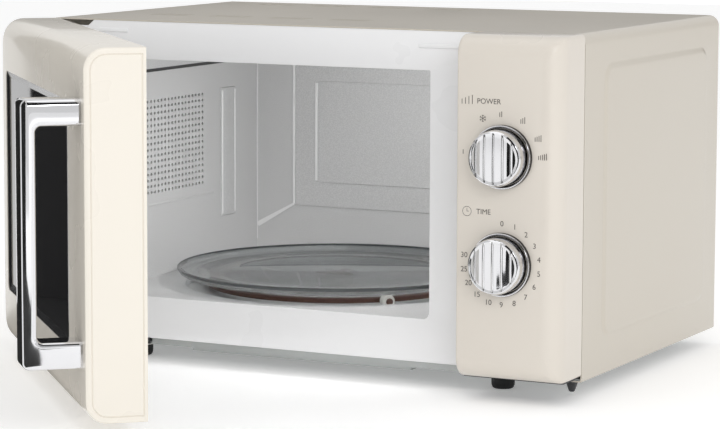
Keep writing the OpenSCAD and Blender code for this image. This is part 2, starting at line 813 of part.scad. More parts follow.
module handle() {
  h = handle_h / 2;
  corner = 5;
  edge = 1.5;
  color("#d8d9db") on_door() difference() {
    intersection() {
      sheet_x(handle_x0, handle_x1) difference() {
        rounded(handle_y0, handle_z - h, handle_y0 + 2 * handle_reach, handle_z + h, corner);
        rounded(handle_y0 + handle_bar, handle_z - h + leg_h, handle_y0 + 60,
                handle_z + h - leg_h, corner);
        translate([face_y, handle_z - h - 1]) square([60, 2 * h + 2]);
      }
      sheet_y(handle_y0 - 1, face_y + 1)
        rounded(handle_x0, handle_z - h, handle_x1, handle_z + h, edge);
      translate([0, 0, handle_z - h - 1]) linear_extrude(height = 2 * h + 2)
        rounded(handle_x0, handle_y0, handle_x1, handle_y0 + 2 * handle_reach, edge);
    }
    for (z = [handle_z - h + leg_h / 2, handle_z + h - leg_h / 2])
      rod_y((handle_x0 + handle_x1) / 2, z, face_y - 12, face_y + 1, 2);
  }
}

module handle_screws() {
  h = handle_h / 2;
  color("#8f9193") on_door()
    for (z = [handle_z - h + leg_h / 2, handle_z + h - leg_h / 2]) {
      rod_y((handle_x0 + handle_x1) / 2, z, face_y - 11, face_y + shell_t, 1.95);
      rod_y((handle_x0 + handle_x1) / 2, z, face_y + shell_t, face_y + shell_t + 2.4, 4);
    }
}

outer_cabinet();
rear_panel();
base_plate();
front_plate();
cavity_shell();
cavity_left_wall();
cavity_right_wall();
waveguide_cover();
waveguide();
magnetron_body();
magnetron_fins();
transformer_core();
transformer_coils();
hv_capacitor();
capacitor_bracket();
hv_diode();
fan_shroud();
fan_motor();
fan_blade();
lamp_holder();
lamp_bulb();
filter_board();
filter_choke();
thermal_cutout();
turntable_motor();
catch_plate();
reed_switch();
timer_unit();
timer_bell();
power_selector();
control_panel();
knob_bezels();
hinge_upper();
hinge_lower();
rubber_feet();
foot_washers();
corner_peg();
cord_grommet();
cabinet_screws();
turntable_coupler();
glass_plate();
roller_ring();
roller_1();
roller_2();
roller_3();
timer_knob();
power_knob();
door_shell();
window_glass();
window_bezel();
window_trim();
door_frame();
door_screen();
inner_cover();
inner_film();
door_magnet();
handle();
handle_screws();
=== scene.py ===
import json
import math
import bmesh
import bpy
from mathutils import Matrix, Vector


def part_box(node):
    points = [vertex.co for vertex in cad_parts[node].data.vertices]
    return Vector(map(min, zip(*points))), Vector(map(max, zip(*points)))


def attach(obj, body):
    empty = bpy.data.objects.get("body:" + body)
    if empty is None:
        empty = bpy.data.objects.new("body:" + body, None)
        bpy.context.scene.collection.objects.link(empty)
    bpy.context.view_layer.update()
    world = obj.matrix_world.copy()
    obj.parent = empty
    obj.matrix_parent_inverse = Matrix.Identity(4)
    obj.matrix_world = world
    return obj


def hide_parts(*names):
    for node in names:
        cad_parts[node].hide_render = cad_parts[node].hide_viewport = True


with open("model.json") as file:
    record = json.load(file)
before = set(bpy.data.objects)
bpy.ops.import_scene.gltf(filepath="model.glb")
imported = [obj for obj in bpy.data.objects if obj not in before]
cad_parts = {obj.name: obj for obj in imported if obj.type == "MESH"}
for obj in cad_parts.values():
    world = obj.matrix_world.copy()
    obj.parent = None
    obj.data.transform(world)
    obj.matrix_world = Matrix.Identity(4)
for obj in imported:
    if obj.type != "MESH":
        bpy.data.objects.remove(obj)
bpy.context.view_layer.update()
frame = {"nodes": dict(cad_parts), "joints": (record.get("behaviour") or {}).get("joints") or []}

# ---------------------------------------------------------------- cabinet wrap
# One folded sheet of cream enamelled steel forms both sides and the top. Each side carries a
# panel raised with soft edges, and the top has two rows of short cooling slots over dark blocks
# that paint the shade seen through them.
wrap_lo, wrap_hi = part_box("outer_cabinet")
ORIGIN = Vector((0.0, wrap_lo.y, wrap_lo.z))
MM = 0.001
panel_rise = 1.5
half_w = wrap_hi.x / MM - panel_rise
wrap_d = (wrap_hi.y - wrap_lo.y) / MM
wrap_h = (wrap_hi.z - wrap_lo.z) / MM


def rgb(r, g, b):
    """Display colour 0-255 to linear RGBA."""
    lin = [((c / 255 + 0.055) / 1.055) ** 2.4 if c > 10 else c / 3295 for c in (r, g, b)]
    return (lin[0], lin[1], lin[2], 1.0)


def surface(name, colour, rough, metallic=0.0, vary=0.025, grain=700.0, bump=0.04,
            coat=0.0, clear=0.0, ior=1.45, speck=0.0, broad=7.0, alpha=1.0, glow=0.0):
    """Procedural finish: soft colour drift, uneven roughness and a fine surface grain."""
    m = bpy.data.materials.new(name)
    m.use_nodes = True
    nt = m.node_tree
    nt.nodes.clear()
    out = nt.nodes.new("ShaderNodeOutputMaterial")
    sh = nt.nodes.new("ShaderNodeBsdfPrincipled")
    nt.links.new(sh.outputs["BSDF"], out.inputs["Surface"])
    tc = nt.nodes.new("ShaderNodeTexCoord")
    drift = nt.nodes.new("ShaderNodeTexNoise")
    drift.inputs["Scale"].default_value = broad
    drift.inputs["Detail"].default_value = 4.0
    fine = nt.nodes.new("ShaderNodeTexNoise")
    fine.inputs["Scale"].default_value = grain
    fine.inputs["Detail"].default_value = 3.0
    nt.links.new(tc.outputs["Object"], drift.inputs["Vector"])
    nt.links.new(tc.outputs["Object"], fine.inputs["Vector"])
    mix = nt.nodes.new("ShaderNodeMix")
    mix.data_type = "RGBA"
    lo = [max(0.0, c * (1 - vary)) for c in colour[:3]] + [1.0]
    hi = [min(1.0, c * (1 + vary)) for c in colour[:3]] + [1.0]
    mix.inputs[6].default_value = lo
    mix.inputs[7].default_value = hi
    nt.links.new(drift.outputs["Fac"], mix.inputs[0])
    last = mix.outputs[2]
    if speck:
        ramp = nt.nodes.new("ShaderNodeMapRange")
        ramp.inputs["From Min"].default_value = 0.42
        ramp.inputs["From Max"].default_value = 0.62
        ramp.inputs["To Min"].default_value = 1.0 - speck
        ramp.inputs["To Max"].default_value = 1.0 + speck * 0.6
        nt.links.new(fine.outputs["Fac"], ramp.inputs["Value"])
        scale = nt.nodes.new("ShaderNodeVectorMath")
        scale.operation = "SCALE"
        nt.links.new(last, scale.inputs[0])
        nt.links.new(ramp.outputs["Result"], scale.inputs["Scale"])
        last = scale.outputs["Vector"]
    nt.links.new(last, sh.inputs["Base Color"])
    wear = nt.nodes.new("ShaderNodeMapRange")
    wear.inputs["From Min"].default_value = 0.3
    wear.inputs["From Max"].default_value = 0.7
    wear.inputs["To Min"].default_value = rough * 0.85
    wear.inputs["To Max"].default_value = rough * 1.15
    nt.links.new(drift.outputs["Fac"], wear.inputs["Value"])
    nt.links.new(wear.outputs["Result"], sh.inputs["Roughness"])
    if bump:
        b = nt.nodes.new("ShaderNodeBump")
        b.inputs["Strength"].default_value = bump
        b.inputs["Distance"].default_value = 0.0004
        nt.links.new(fine.outputs["Fac"], b.inputs["Height"])
        nt.links.new(b.outputs["Normal"], sh.inputs["Normal"])
    sh.inputs["Metallic"].default_value = metallic
    sh.inputs["Coat Weight"].default_value = coat
    sh.inputs["Coat Roughness"].default_value = 0.08
    sh.inputs["Transmission Weight"].default_value = clear
    sh.inputs["IOR"].default_value = ior
    sh.inputs["Alpha"].default_value = alpha
    sh.inputs["Emission Color"].default_value = colour
    sh.inputs["Emission Strength"].default_value = glow
    return m


def dress(node, material):
    """Gives a CAD node its finish."""
    data = frame["nodes"][node].data
    data.materials.clear()
    data.materials.append(material)


def piece(bm, name, body, material, replaces=(), crease=32.0, turn=None):
    """Turns a mesh modelled in millimetres from the cabinet's front bottom edge into an object."""
    if turn:
        turn(bm)
    for v in bm.verts:
        v.co = v.co * MM + ORIGIN
    for f in bm.faces:
        f.smooth = True
    limit = math.radians(crease)
    for e in bm.edges:
        if len(e.link_faces) == 2 and e.calc_face_angle(0.0) > limit:
            e.smooth = False
    me = bpy.data.meshes.new(name)
    bm.to_mesh(me)
    bm.free()
    me.materials.append(material)
    o = bpy.data.objects.new(name, me)
    bpy.context.scene.collection.objects.link(o)
    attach(o, body)
    if replaces:
        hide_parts(*replaces)
    return o


def arc(cx, cz, r, a0, a1, n=8):
    """Points on an arc, angles in degrees."""
    return [(cx + r * math.cos(math.radians(a0 + (a1 - a0) * i / n)),
             cz + r * math.sin(math.radians(a0 + (a1 - a0) * i / n))) for i in range(n + 1)]


def chain(bm, points, closed=True):
    """Vertices joined by edges through 3-D points."""
    vs = [bm.verts.new(p) for p in points]
    es = [bm.edges.new((a, b)) for a, b in zip(vs, vs[1:])]
    if closed:
        es.append(bm.edges.new((vs[-1], vs[0])))
    return vs, es


def push(bm, edges, vec):
    """Extrudes edges along vec; returns the new edges."""
    out = bmesh.ops.extrude_edge_only(bm, edges=edges)["geom"]
    vs = [g for g in out if isinstance(g, bmesh.types.BMVert)]
    bmesh.ops.translate(bm, verts=vs, vec=vec)
    return [g for g in out if isinstance(g, bmesh.types.BMEdge)]


def loft(bm, rings, cap=True):
    """Skins a run of matching closed outlines, given as lists of 3-D points."""
    made = [chain(bm, pts)[1] for pts in rings]
    for e0, e1 in zip(made, made[1:]):
        bmesh.ops.bridge_loops(bm, edges=e0 + e1)
    if cap:
        bmesh.ops.edgeloop_fill(bm, edges=made[-1])
    return made[0]


def round_rect(x0, z0, x1, z1, r, n=6):
    """Rounded rectangle outline; r is one radius or (bottom left, bottom right, top right, top left)."""
    a, b, c, d = (r, r, r, r) if isinstance(r, (int, float)) else r
    return (arc(x0 + a, z0 + a, a, 180, 270, n) + arc(x1 - b, z0 + b, b, 270, 360, n)
            + arc(x1 - c, z1 - c, c, 0, 90, n) + arc(x0 + d, z1 - d, d, 90, 180, n))


def block(bm, lo, hi, soften=0.0, segments=3):
    """Box between two corners with softened edges."""
    made = bmesh.ops.create_cube(bm, size=1.0)["verts"]
    for v in made:
        v.co = Vector([(lo[i] + hi[i]) / 2 + v.co[i] * (hi[i] - lo[i]) for i in range(3)])
    if soften:
        es = list({e for v in made for e in v.link_edges})
        bmesh.ops.bevel(bm, geom=es, offset=soften, segments=segments, profile=0.5, material=-1,
                        affect="EDGES")


def near(a, b):
    """True where two lengths agree within a fiftieth of a millimetre."""
    return abs(a - b) < 0.02


# The cabinet's cream is set darker than its own paint colour: painted shade over its sides and top.
cream_steel_painted_shade = surface("cream_enamel_steel_shaded", rgb(200, 193, 181), 0.34, coat=0.25, bump=0.03)

bm = bmesh.new()
r_top = 8.0
outline = [(-half_w + 9, 0.0), (-half_w + 1, 0.0)]
outline += arc(-half_w + 1, 1, 1, 270, 180, 3)[1:]
outline += arc(-half_w + r_top, wrap_h - r_top, r_top, 180, 90, 8)
outline += arc(half_w - r_top, wrap_h - r_top, r_top, 90, 0, 8)
outline += arc(half_w - 1, 1, 1, 0, -90, 3)
outline += [(half_w - 9, 0.0)]
_, es = chain(bm, [(x, 0.0, z) for x, z in outline], closed=False)
push(bm, es, (0, wrap_d, 0))
bmesh.ops.recalc_face_normals(bm, faces=bm.faces[:])
top = max(bm.faces, key=lambda f: f.calc_center_median().z * (abs(f.normal.z) > 0.99) * f.calc_area())
if top.normal.z < 0:
    bmesh.ops.reverse_faces(bm, faces=bm.faces[:])

slot_long, slot_wide, slot_pitch = 33.0, 2.2, 6
slot_rows = (75, wrap_d - 27)
slot_mids = [-half_w + 65 + group * half_w * 2 * 0.117 for group in range(4)]
slots_x = [(mid - slot_long / 2, mid + slot_long / 2) for mid in slot_mids]
slots_y = [(row + k * slot_pitch - slot_wide / 2, row + k * slot_pitch + slot_wide / 2)
           for row in slot_rows for k in (-1, 0, 1)]


def flat_top():
    """Faces of the flat top."""
    return [f for f in bm.faces if f.normal.z > 0.99 and f.calc_center_median().z > wrap_h - 0.1]


for x in sorted({v for pair in slots_x for v in pair}):
    fs = flat_top()
    geom = fs + list({e for f in fs for e in f.edges}) + list({v for f in fs for v in f.verts})
    bmesh.ops.bisect_plane(bm, geom=geom, dist=1e-5, plane_co=(x, 0, 0), plane_no=(1, 0, 0))
for y in sorted({v for pair in slots_y for v in pair}):
    fs = flat_top()
    geom = fs + list({e for f in fs for e in f.edges}) + list({v for f in fs for v in f.verts})
    bmesh.ops.bisect_plane(bm, geom=geom, dist=1e-5, plane_co=(0, y, 0), plane_no=(0, 1, 0))
gone = []
for f in flat_top():
    c = f.calc_center_median()
    if any(a < c.x < b for a, b in slots_x) and any(a < c.y < b for a, b in slots_y):
        gone.append(f)
bmesh.ops.delete(bm, geom=gone, context="FACES")

# The raised panel's edge climbs in soft steps, given as distance in from its foot and height.
side_steps = ((0, 0), (0.7, 0.06), (1.5, 0.26), (2.6, 0.75), (3.7, 1.24), (4.6, 1.44), (5.6, panel_rise))
for side in (-1, 1):
    wall = [f for f in bm.faces if f.normal.x * side > 0.99 and f.calc_area() > 20000][0]
    rim = wall.edges[:]
    bmesh.ops.delete(bm, geom=[wall], context="FACES_ONLY")
    rings = []
    for inset, rise in side_steps:
        rings.append([(side * (half_w + rise), y, z) for y, z in
                      round_rect(35 + inset, 25 + inset, wrap_d - 25 - inset, wrap_h - 22 - inset,
                                 14 - inset, 10)])
    first = loft(bm, rings)
    bmesh.ops.triangle_fill(bm, use_beauty=True, use_dissolve=False, edges=rim + first)
bmesh.ops.recalc_face_normals(bm, faces=bm.faces[:])
roof = max(bm.faces, key=lambda f: f.calc_center_median().z * (abs(f.normal.z) > 0.99))
if roof.normal.z < 0:
    bmesh.ops.reverse_faces(bm, faces=bm.faces[:])
slot_rims = [e for e in bm.edges if e.is_boundary and all(v.co.z > wrap_h - 0.1 for v in e.verts)
             and all(10 < v.co.y < wrap_d - 10 for v in e.verts)]
push(bm, slot_rims, (0, 0, -1.2))
for y_end in (0.0, wrap_d):
    rim = [e for e in bm.edges if e.is_boundary and all(abs(v.co.y - y_end) < 0.01 for v in e.verts)]
    lip = bmesh.ops.extrude_edge_only(bm, edges=rim)["geom"]
    for v in [g for g in lip if isinstance(g, bmesh.types.BMVert)]:
        v.co.x -= max(-1.0, min(1.0, v.co.x / 30))
        v.co.z += 1.0 if v.co.z < 30 else -1.0
piece(bm, "cabinet_skin", "chassis", cream_steel_painted_shade, ["outer_cabinet"])

# The dark blocks under the slots are painted shade, standing in for the dark inside seen through the slots.
slot_dark = surface("slot_shadow", rgb(48, 47, 45), 0.7, bump=0.0)
bm = bmesh.new()
for x0, x1 in slots_x:
    for row in slot_rows:
        block(bm, (x0 - 1, row - 8, wrap_h - 2.0), (x1 + 1, row + 8, wrap_h - 1.3))
piece(bm, "slot_shade_blocks", "chassis", slot_dark)

# ---------------------------------------------------------------- rear panel and base
# The back is a flat plate with a fan grille, a steam grille and the cord bushing; the bottom is
# galvanised sheet whose front lip shows as a pale strip. Round rubber feet hang on white spacers.
rear_steel = surface("rear_enamel_steel", rgb(205, 200, 190), 0.4, bump=0.05)
zinc = surface("galvanised_sheet", rgb(178, 181, 180), 0.42, metallic=0.55, vary=0.10, broad=26.0)
rubber = surface("foot_rubber", rgb(30, 30, 31), 0.62, bump=0.25, grain=900.0)
dark_steel = surface("dark_hinge_steel", rgb(58, 59, 61), 0.42, metallic=0.35)
screw_steel = surface("zinc_screw", rgb(160, 161, 162), 0.35, metallic=0.9)
white_nylon = surface("white_nylon", rgb(232, 231, 226), 0.45)
dress("rear_panel", rear_steel)
dress("cabinet_screws", screw_steel)
dress("cord_grommet", rubber)
dress("base_plate", zinc)
dress("foot_washers", white_nylon)
dress("hinge_lower", dark_steel)


def lathe(bm, profile, centre, axis="Z", steps=64):
    """Spins (radius, height) points about an axis through centre; heights run along the axis."""
    cx, cy, cz = centre
    if axis == "Z":
        pts = [(cx + r, cy, cz + h) for r, h in profile]
        ax = (0, 0, 1)
    elif axis == "Y":
        pts = [(cx + r, cy + h, cz) for r, h in profile]
        ax = (0, 1, 0)
    vs, es = chain(bm, pts, closed=False)
    bmesh.ops.spin(bm, geom=vs + es, cent=centre, axis=ax, dvec=(0, 0, 0), angle=math.tau,
                   steps=steps, use_merge=True, use_duplicate=False)
    bmesh.ops.remove_doubles(bm, verts=bm.verts[:], dist=0.0005)
    bmesh.ops.recalc_face_normals(bm, faces=bm.faces[:])


bm = bmesh.new()
feet_lo, feet_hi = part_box("rubber_feet")
foot_bottom = (feet_lo.z - ORIGIN.z) / MM
foot_top = (feet_hi.z - ORIGIN.z) / MM
foot_r = 8.5
for fx in (feet_lo.x / MM + foot_r, feet_hi.x / MM - foot_r):
    for fy in ((feet_lo.y - ORIGIN.y) / MM + foot_r, (feet_hi.y - ORIGIN.y) / MM - foot_r):
        lathe(bm, [(0, foot_bottom + 3), (3.2, foot_bottom + 3), (3.6, foot_bottom + 0.5),
                   (4.2, foot_bottom), (6.8, foot_bottom), (7.6, foot_bottom + 0.6),
                   (8.3, foot_bottom + 2.2), (foot_r, foot_bottom + 4), (foot_r, foot_top - 0.8),
                   (7.9, foot_top), (0, foot_top)], (fx, fy, 0), steps=40)
piece(bm, "feet_round", "chassis", rubber, ["rubber_feet"])

peg_lo, peg_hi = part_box("corner_peg")
peg_z0 = (peg_lo.z - ORIGIN.z) / MM
bm = bmesh.new()
lathe(bm, [(0, peg_z0), (1.6, peg_z0), (2.2, peg_z0 + 0.6), (4.1, peg_z0 + 6.2), (4.7, peg_z0 + 6.8),
           (4.7, peg_z0 + 7.5), (0, peg_z0 + 7.5)],
      ((peg_lo.x + peg_hi.x) / 2 / MM, ((peg_lo.y + peg_hi.y) / 2 - ORIGIN.y) / MM, 0), steps=32)
piece(bm, "peg_turned", "chassis", dark_steel, ["corner_peg"])

# ---------------------------------------------------------------- front plate
# A white enamelled plate closes the front around the cavity mouth. Two small pressed ribs and a
# notched upper corner by the hinge show beside the open door.
white_enamel = surface("white_enamel", rgb(240, 240, 241), 0.30, coat=0.2, bump=0.02)
cav_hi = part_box("cavity_shell")[1]
cx0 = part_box("cavity_left_wall")[1].x / MM
cx1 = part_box("cavity_right_wall")[0].x / MM
floor_z = 36.0
ceil_z = (cav_hi.z - ORIGIN.z) / MM - 1.0
back_y = (cav_hi.y - ORIGIN.y) / MM - 1.0


def plate_y(bm, outer, holes, y0, y1, soften=0.0):
    """Flat plate in the X-Z plane between y0 (front) and y1, with openings."""
    edges = []
    for ring in [outer] + holes:
        edges += chain(bm, [(x, y0, z) for x, z in ring])[1]
    bmesh.ops.triangle_fill(bm, use_beauty=True, use_dissolve=False, edges=edges)
    faces = [f for f in bm.faces if all(abs(v.co.y - y0) < 1e-4 for v in f.verts)]
    for f in faces:
        if f.normal.y > 0:
            f.normal_flip()
    out = bmesh.ops.extrude_face_region(bm, geom=faces)["geom"]
    vs = [g for g in out if isinstance(g, bmesh.types.BMVert)]
    bmesh.ops.translate(bm, verts=vs, vec=(0, y1 - y0, 0))
    bmesh.ops.recalc_face_normals(bm, faces=bm.faces[:])
    if soften:
        rims = [e for e in bm.edges if len(e.link_faces) == 2
                and all(abs(v.co.y - y0) < 1e-4 for v in e.verts)
                and e.calc_face_angle(0.0) > 1.0]
        bmesh.ops.bevel(bm, geom=rims, offset=soften, segments=2, profile=0.5, material=-1,
                        affect="EDGES")


fp_lo, fp_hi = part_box("front_plate")
pl = fp_lo.x / MM
pr = fp_hi.x / MM
pz0 = (fp_lo.z - ORIGIN.z) / MM
pz1 = (fp_hi.z - ORIGIN.z) / MM
bm = bmesh.new()
outer = [(pl, pz0), (pr, pz0)] + arc(pr - 7, pz1 - 7, 7, 0, 90, 6)
outer += [(pl + 39, pz1), (pl + 34, pz1 - 4.2), (pl, pz1 - 4.2)]
mouth = round_rect(cx0, floor_z, cx1, ceil_z, (1.0, 5.0, 1.0, 1.0))
plate_y(bm, outer, [mouth], 0.0, 0.9, soften=0.5)
block(bm, (92, -0.7, 231.6), (150, 0.4, 235.2), 0.65)
block(bm, (-205, -0.7, 235.4), (-150, 0.4, 238.6), 0.65)
piece(bm, "front_plate_skin", "chassis", white_enamel, ["front_plate"])

# ---------------------------------------------------------------- oven cavity
# The inside is a welded box in speckled grey enamel: curved joints at floor and ceiling, a round
# well for the roller ring, pressed panels in the back and a grille of holes in the left wall.
speckle = surface("speckled_enamel", rgb(212, 212, 212), 0.36, speck=0.10, grain=1500.0, bump=0.10)
mica = surface("mica_sheet", rgb(204, 196, 176), 0.6, bump=0.12)
# shadow_groove is painted shade: the dark seen through the grille's holes and a shadow line on the left
# wall.
painted_shade_dark = surface("shadow_groove", rgb(70, 70, 70), 0.6)
plate_lo, plate_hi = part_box("glass_plate")
tx = (plate_lo.x + plate_hi.x) / 2 / MM
ty = ((plate_lo.y + plate_hi.y) / 2 - ORIGIN.y) / MM
plate_r = (plate_hi.x - plate_lo.x) / 2 / MM
well_r = plate_r - 7
well_z = floor_z - 4.5

bm = bmesh.new()
section = [(1.0, floor_z)] + arc(back_y - 6, floor_z + 6, 6, 270, 360, 6)
section += arc(back_y - 6, ceil_z - 6, 6, 0, 90, 6) + [(1.0, ceil_z)]
_, es = chain(bm, [(cx0, y, z) for y, z in section], closed=False)
push(bm, es, (cx1 - cx0, 0, 0))
floor = [f for f in bm.faces if all(abs(v.co.z - floor_z) < 0.01 for v in f.verts)][0]
rim = floor.edges[:]
bmesh.ops.delete(bm, geom=[floor], context="FACES_ONLY")
steps = 96
ring = [(tx + (well_r + 1) * math.cos(math.tau * i / steps),
         ty + (well_r + 1) * math.sin(math.tau * i / steps), floor_z) for i in range(steps)]
_, circle = chain(bm, ring)
bmesh.ops.triangle_fill(bm, use_beauty=True, use_dissolve=False, edges=rim + circle)
profile = [(well_r + 1, floor_z), (well_r + 0.4, floor_z - 0.15), (well_r - 0.1, floor_z - 0.9),
           (well_r - 0.8, well_z + 0.7), (well_r - 1.6, well_z), (34, well_z), (32.5, well_z + 0.9),
           (10, well_z + 0.9), (8.5, well_z), (4.6, well_z), (4.6, well_z - 2)]
vs, es = chain(bm, [(tx + r, ty, z) for r, z in profile], closed=False)
bmesh.ops.spin(bm, geom=vs + es, cent=(tx, ty, 0), axis=(0, 0, 1), dvec=(0, 0, 0), angle=math.tau,
               steps=steps, use_merge=True, use_duplicate=False)
bmesh.ops.remove_doubles(bm, verts=bm.verts[:], dist=0.01)
wall = max((f for f in bm.faces if abs(f.normal.y) > 0.99), key=lambda f: f.calc_area())
press_step = 1.1
for grow, (x0, x1, z0, z1) in ((18.0, (-147.6, 84.0, 76.0, 203.0)), (14.0, (-126.0, 66.0, 96.5, 182.5))):
    bmesh.ops.inset_individual(bm, faces=[wall], thickness=grow)
    for v in wall.verts:
        v.co.x = x0 if v.co.x < (x0 + x1) / 2 else x1
        v.co.z = z0 if v.co.z < (z0 + z1) / 2 else z1
    edge = wall.edges[:]
    bmesh.ops.inset_individual(bm, faces=[wall], thickness=2.6)
    for v in wall.verts:
        v.co.y -= press_step
    bmesh.ops.bevel(bm, geom=edge + wall.edges[:], offset=0.8, segments=3, profile=0.5,
                    material=-1, affect="EDGES")
    wall = max((f for f in bm.faces if abs(f.normal.y) > 0.99
                and abs(f.calc_center_median().x - (x0 + x1) / 2) < 6
                and abs(f.calc_center_median().z - (z0 + z1) / 2) < 6), key=lambda f: f.calc_area())
bmesh.ops.recalc_face_normals(bm, faces=bm.faces[:])
piece(bm, "cavity_lining", "chassis", speckle, ["cavity_shell"], crease=50)
dress("cavity_left_wall", speckle)
dress("cavity_right_wall", speckle)
dress("waveguide_cover", mica)

bm = bmesh.new()
block(bm, (cx0 - 0.4, 202, 72), (cx0 + 1.1, 226, 178), 1.0, 4)
block(bm, (cx0 - 0.4, 60, 92), (cx0 + 0.5, 190, 94), 0.4, 2)
piece(bm, "wall_ribs", "chassis", speckle)

# Beads along the folds of the back and left walls, one of them slanting up from the corner. Their enamel is
# lighter than the walls: a painted highlight of the shine along the folds.
painted_highlight_enamel = surface("enamel_painted_highlight", rgb(246, 246, 246), 0.25, coat=0.3, vary=0.01)
bm = bmesh.new()
for y in (203.6, 224.4):
    block(bm, (cx0 + 0.5, y - 1.1, 74), (cx0 + 1.5, y + 1.1, 176), 0.45, 3)
for x, z0, z1, out in ((-148.4, 78, 201, 0.5), (-126.8, 98.5, 180.5, 1.6)):
    block(bm, (x - 1.3, back_y - out - 0.6, z0), (x + 1.3, back_y - out + 0.6, z1), 0.55, 3)
block(bm, (cx0 + 0.1, back_y - 0.9, 46), (cx0 + 1.1, back_y + 0.1, 210), 0.4, 3)
brace_a, brace_b = Vector((cx0 + 1.5, back_y - 0.3, 58)), Vector((-148, back_y - 1.0, 78))
run = (brace_b - brace_a).normalized()
across = Vector((-run.z, 0, run.x)) * 1.3
slope = [brace_a + across * 2.2, brace_a - across, brace_b - across * 0.7, brace_b + across * 0.7]
_, rim = chain(bm, [p + Vector((0, -0.4, 0)) for p in slope])
bmesh.ops.edgeloop_fill(bm, edges=rim)
piece(bm, "wall_highlight_beads", "chassis", painted_highlight_enamel)

# A dark plate behind the left wall's grille is painted shade, seen through the holes.
bm = bmesh.new()
block(bm, (cx0 - 3.4, 70, 105), (cx0 - 2.2, 190, 200))
piece(bm, "grille_shade_plate", "chassis", painted_shade_dark)

# A dark strip along the top of the left wall is a painted shadow line near the ceiling.
bm = bmesh.new()
block(bm, (cx0 - 0.3, 70, 198.4), (cx0 + 0.5, 246, 200.8), 0.2, 1)
piece(bm, "wall_shadow_line", "chassis", painted_shade_dark)

# ---------------------------------------------------------------- turntable
# A pressed glass plate with a rolled rim lies on three rollers carried by a brown ring; a
# three-armed coupler on the motor shaft turns the plate from below.
glass = surface("clear_glass", rgb(214, 219, 220), 0.03, clear=1.0, ior=1.34, bump=0.0, vary=0.005,
                alpha=0.8)
# The darker glass for the rim is painted reflection: it stands in for the dark line a rolled glass rim
# shows.
glass_rim_painted_dark = surface("glass_rim_painted_dark", rgb(92, 97, 98), 0.12, clear=0.35, bump=0.0, vary=0.01)
brown = surface("brown_plastic", rgb(84, 56, 46), 0.38, bump=0.06)
pz = (plate_lo.z - ORIGIN.z) / MM + 2.6
rim_h = (plate_hi.z - ORIGIN.z) / MM - pz
rz = pz - 0.3 - 5.0
track = plate_r - 18
bm = bmesh.new()
lathe(bm, [(0, 0), (plate_r - 14, 0), (plate_r - 6, 1.0), (plate_r - 2.2, 2.6), (plate_r - 0.4, rim_h - 2),
           (plate_r, rim_h - 1), (plate_r - 0.3, rim_h - 0.3), (plate_r - 1.1, rim_h),
           (plate_r - 2.0, rim_h - 0.2), (plate_r - 3.8, rim_h - 1.6), (plate_r - 7, 4.4),
           (plate_r - 12, 3.4), (plate_r - 22, 3.2), (plate_r - 23.5, 2.7),
           (plate_r - 46, 2.7), (plate_r - 47.5, 3.1), (0, 3.1)],
      (tx, ty, pz), steps=128)
for a in (30, 150, 270):
    lx = tx + 12.5 * math.cos(math.radians(a))
    ly = ty + 12.5 * math.sin(math.radians(a))
    lathe(bm, [(0, -2.5), (2.4, -2.5), (2.9, -2.0), (2.9, 0.05), (0, 0.05)], (lx, ly, pz), steps=20)
piece(bm, "plate_glass", "plate", glass, ["glass_plate"])

# A dark ring along the plate's rim, painted reflection.
bm = bmesh.new()
lathe(bm, [(plate_r - 0.5, pz + rim_h - 2.6), (plate_r, pz + rim_h - 1.5), (plate_r - 0.1, pz + rim_h - 0.7),
           (plate_r - 0.7, pz + rim_h - 0.9), (plate_r - 1.0, pz + rim_h - 2.4),
           (plate_r - 0.5, pz + rim_h - 2.6)], (tx, ty, 0), steps=128)
piece(bm, "plate_rim_painted_dark", "plate", glass_rim_painted_dark)

bm = bmesh.new()
lathe(bm, [(track - 14, -1.6), (track - 13.2, -2.0), (track - 6.8, -2.0), (track - 6, -1.6),
           (track - 6, 1.2), (track - 6.8, 1.6), (track - 13.2, 1.6), (track - 14, 1.2),
           (track - 14, -1.6)], (tx, ty, rz), steps=96)
roller_angles = [math.degrees(math.atan2(((a.y + b.y) / 2 - ORIGIN.y) / MM - ty,
                                         (a.x + b.x) / 2 / MM - tx))
                 for a, b in (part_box("roller_1"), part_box("roller_2"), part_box("roller_3"))]


def spool(bm, profile, x, angle, steps=32):
    """A turned piece whose axis runs outwards from the turntable's centre."""
    before = set(bm.verts)
    pts = [(x + h, ty, rz + r) for r, h in profile]
    vs, es = chain(bm, pts, closed=False)
    bmesh.ops.spin(bm, geom=vs + es, cent=(x, ty, rz), axis=(1, 0, 0), dvec=(0, 0, 0),
                   angle=math.tau, steps=steps, use_merge=True, use_duplicate=False)
    vs = [v for v in bm.verts if v not in before]
    bmesh.ops.remove_doubles(bm, verts=vs, dist=0.0005)
    vs = [v for v in bm.verts if v not in before]
    bmesh.ops.rotate(bm, verts=vs, cent=(tx, ty, 0),
                     matrix=Matrix.Rotation(math.radians(angle), 3, "Z"))
    bmesh.ops.recalc_face_normals(bm, faces=[f for f in bm.faces if f.verts[0] not in before])


for a in roller_angles:
    spool(bm, [(0, 0), (1.45, 0), (1.45, 12), (0, 12)], tx + track - 8, a, 16)
    spool(bm, [(0, 0), (2.3, 0), (2.6, 0.4), (2.6, 1.4), (2.1, 1.9), (0, 2.0)], tx + track + 4, a, 24)
    spool(bm, [(0, 0), (2.6, 0), (3.0, 0.5), (3.0, 3.4), (0, 3.6)], tx + track - 8.6, a, 24)
piece(bm, "ring_moulded", "ring", brown, ["roller_ring"])
for name, body, a in zip(("roller_1", "roller_2", "roller_3"), ("roller_a", "roller_b", "roller_c"),
                         roller_angles):
    bm = bmesh.new()
    spool(bm, [(1.6, 0), (4.4, 0), (5.0, 0.6), (5.0, 2.6), (4.7, 2.9), (4.7, 4.1), (5.0, 4.4),
               (5.0, 6.4), (4.4, 7.0), (1.6, 7.0), (1.6, 0)], tx + track - 3.5, a, 48)
    piece(bm, "wheel_" + body, body, white_nylon, [name])
dress("turntable_coupler", brown)
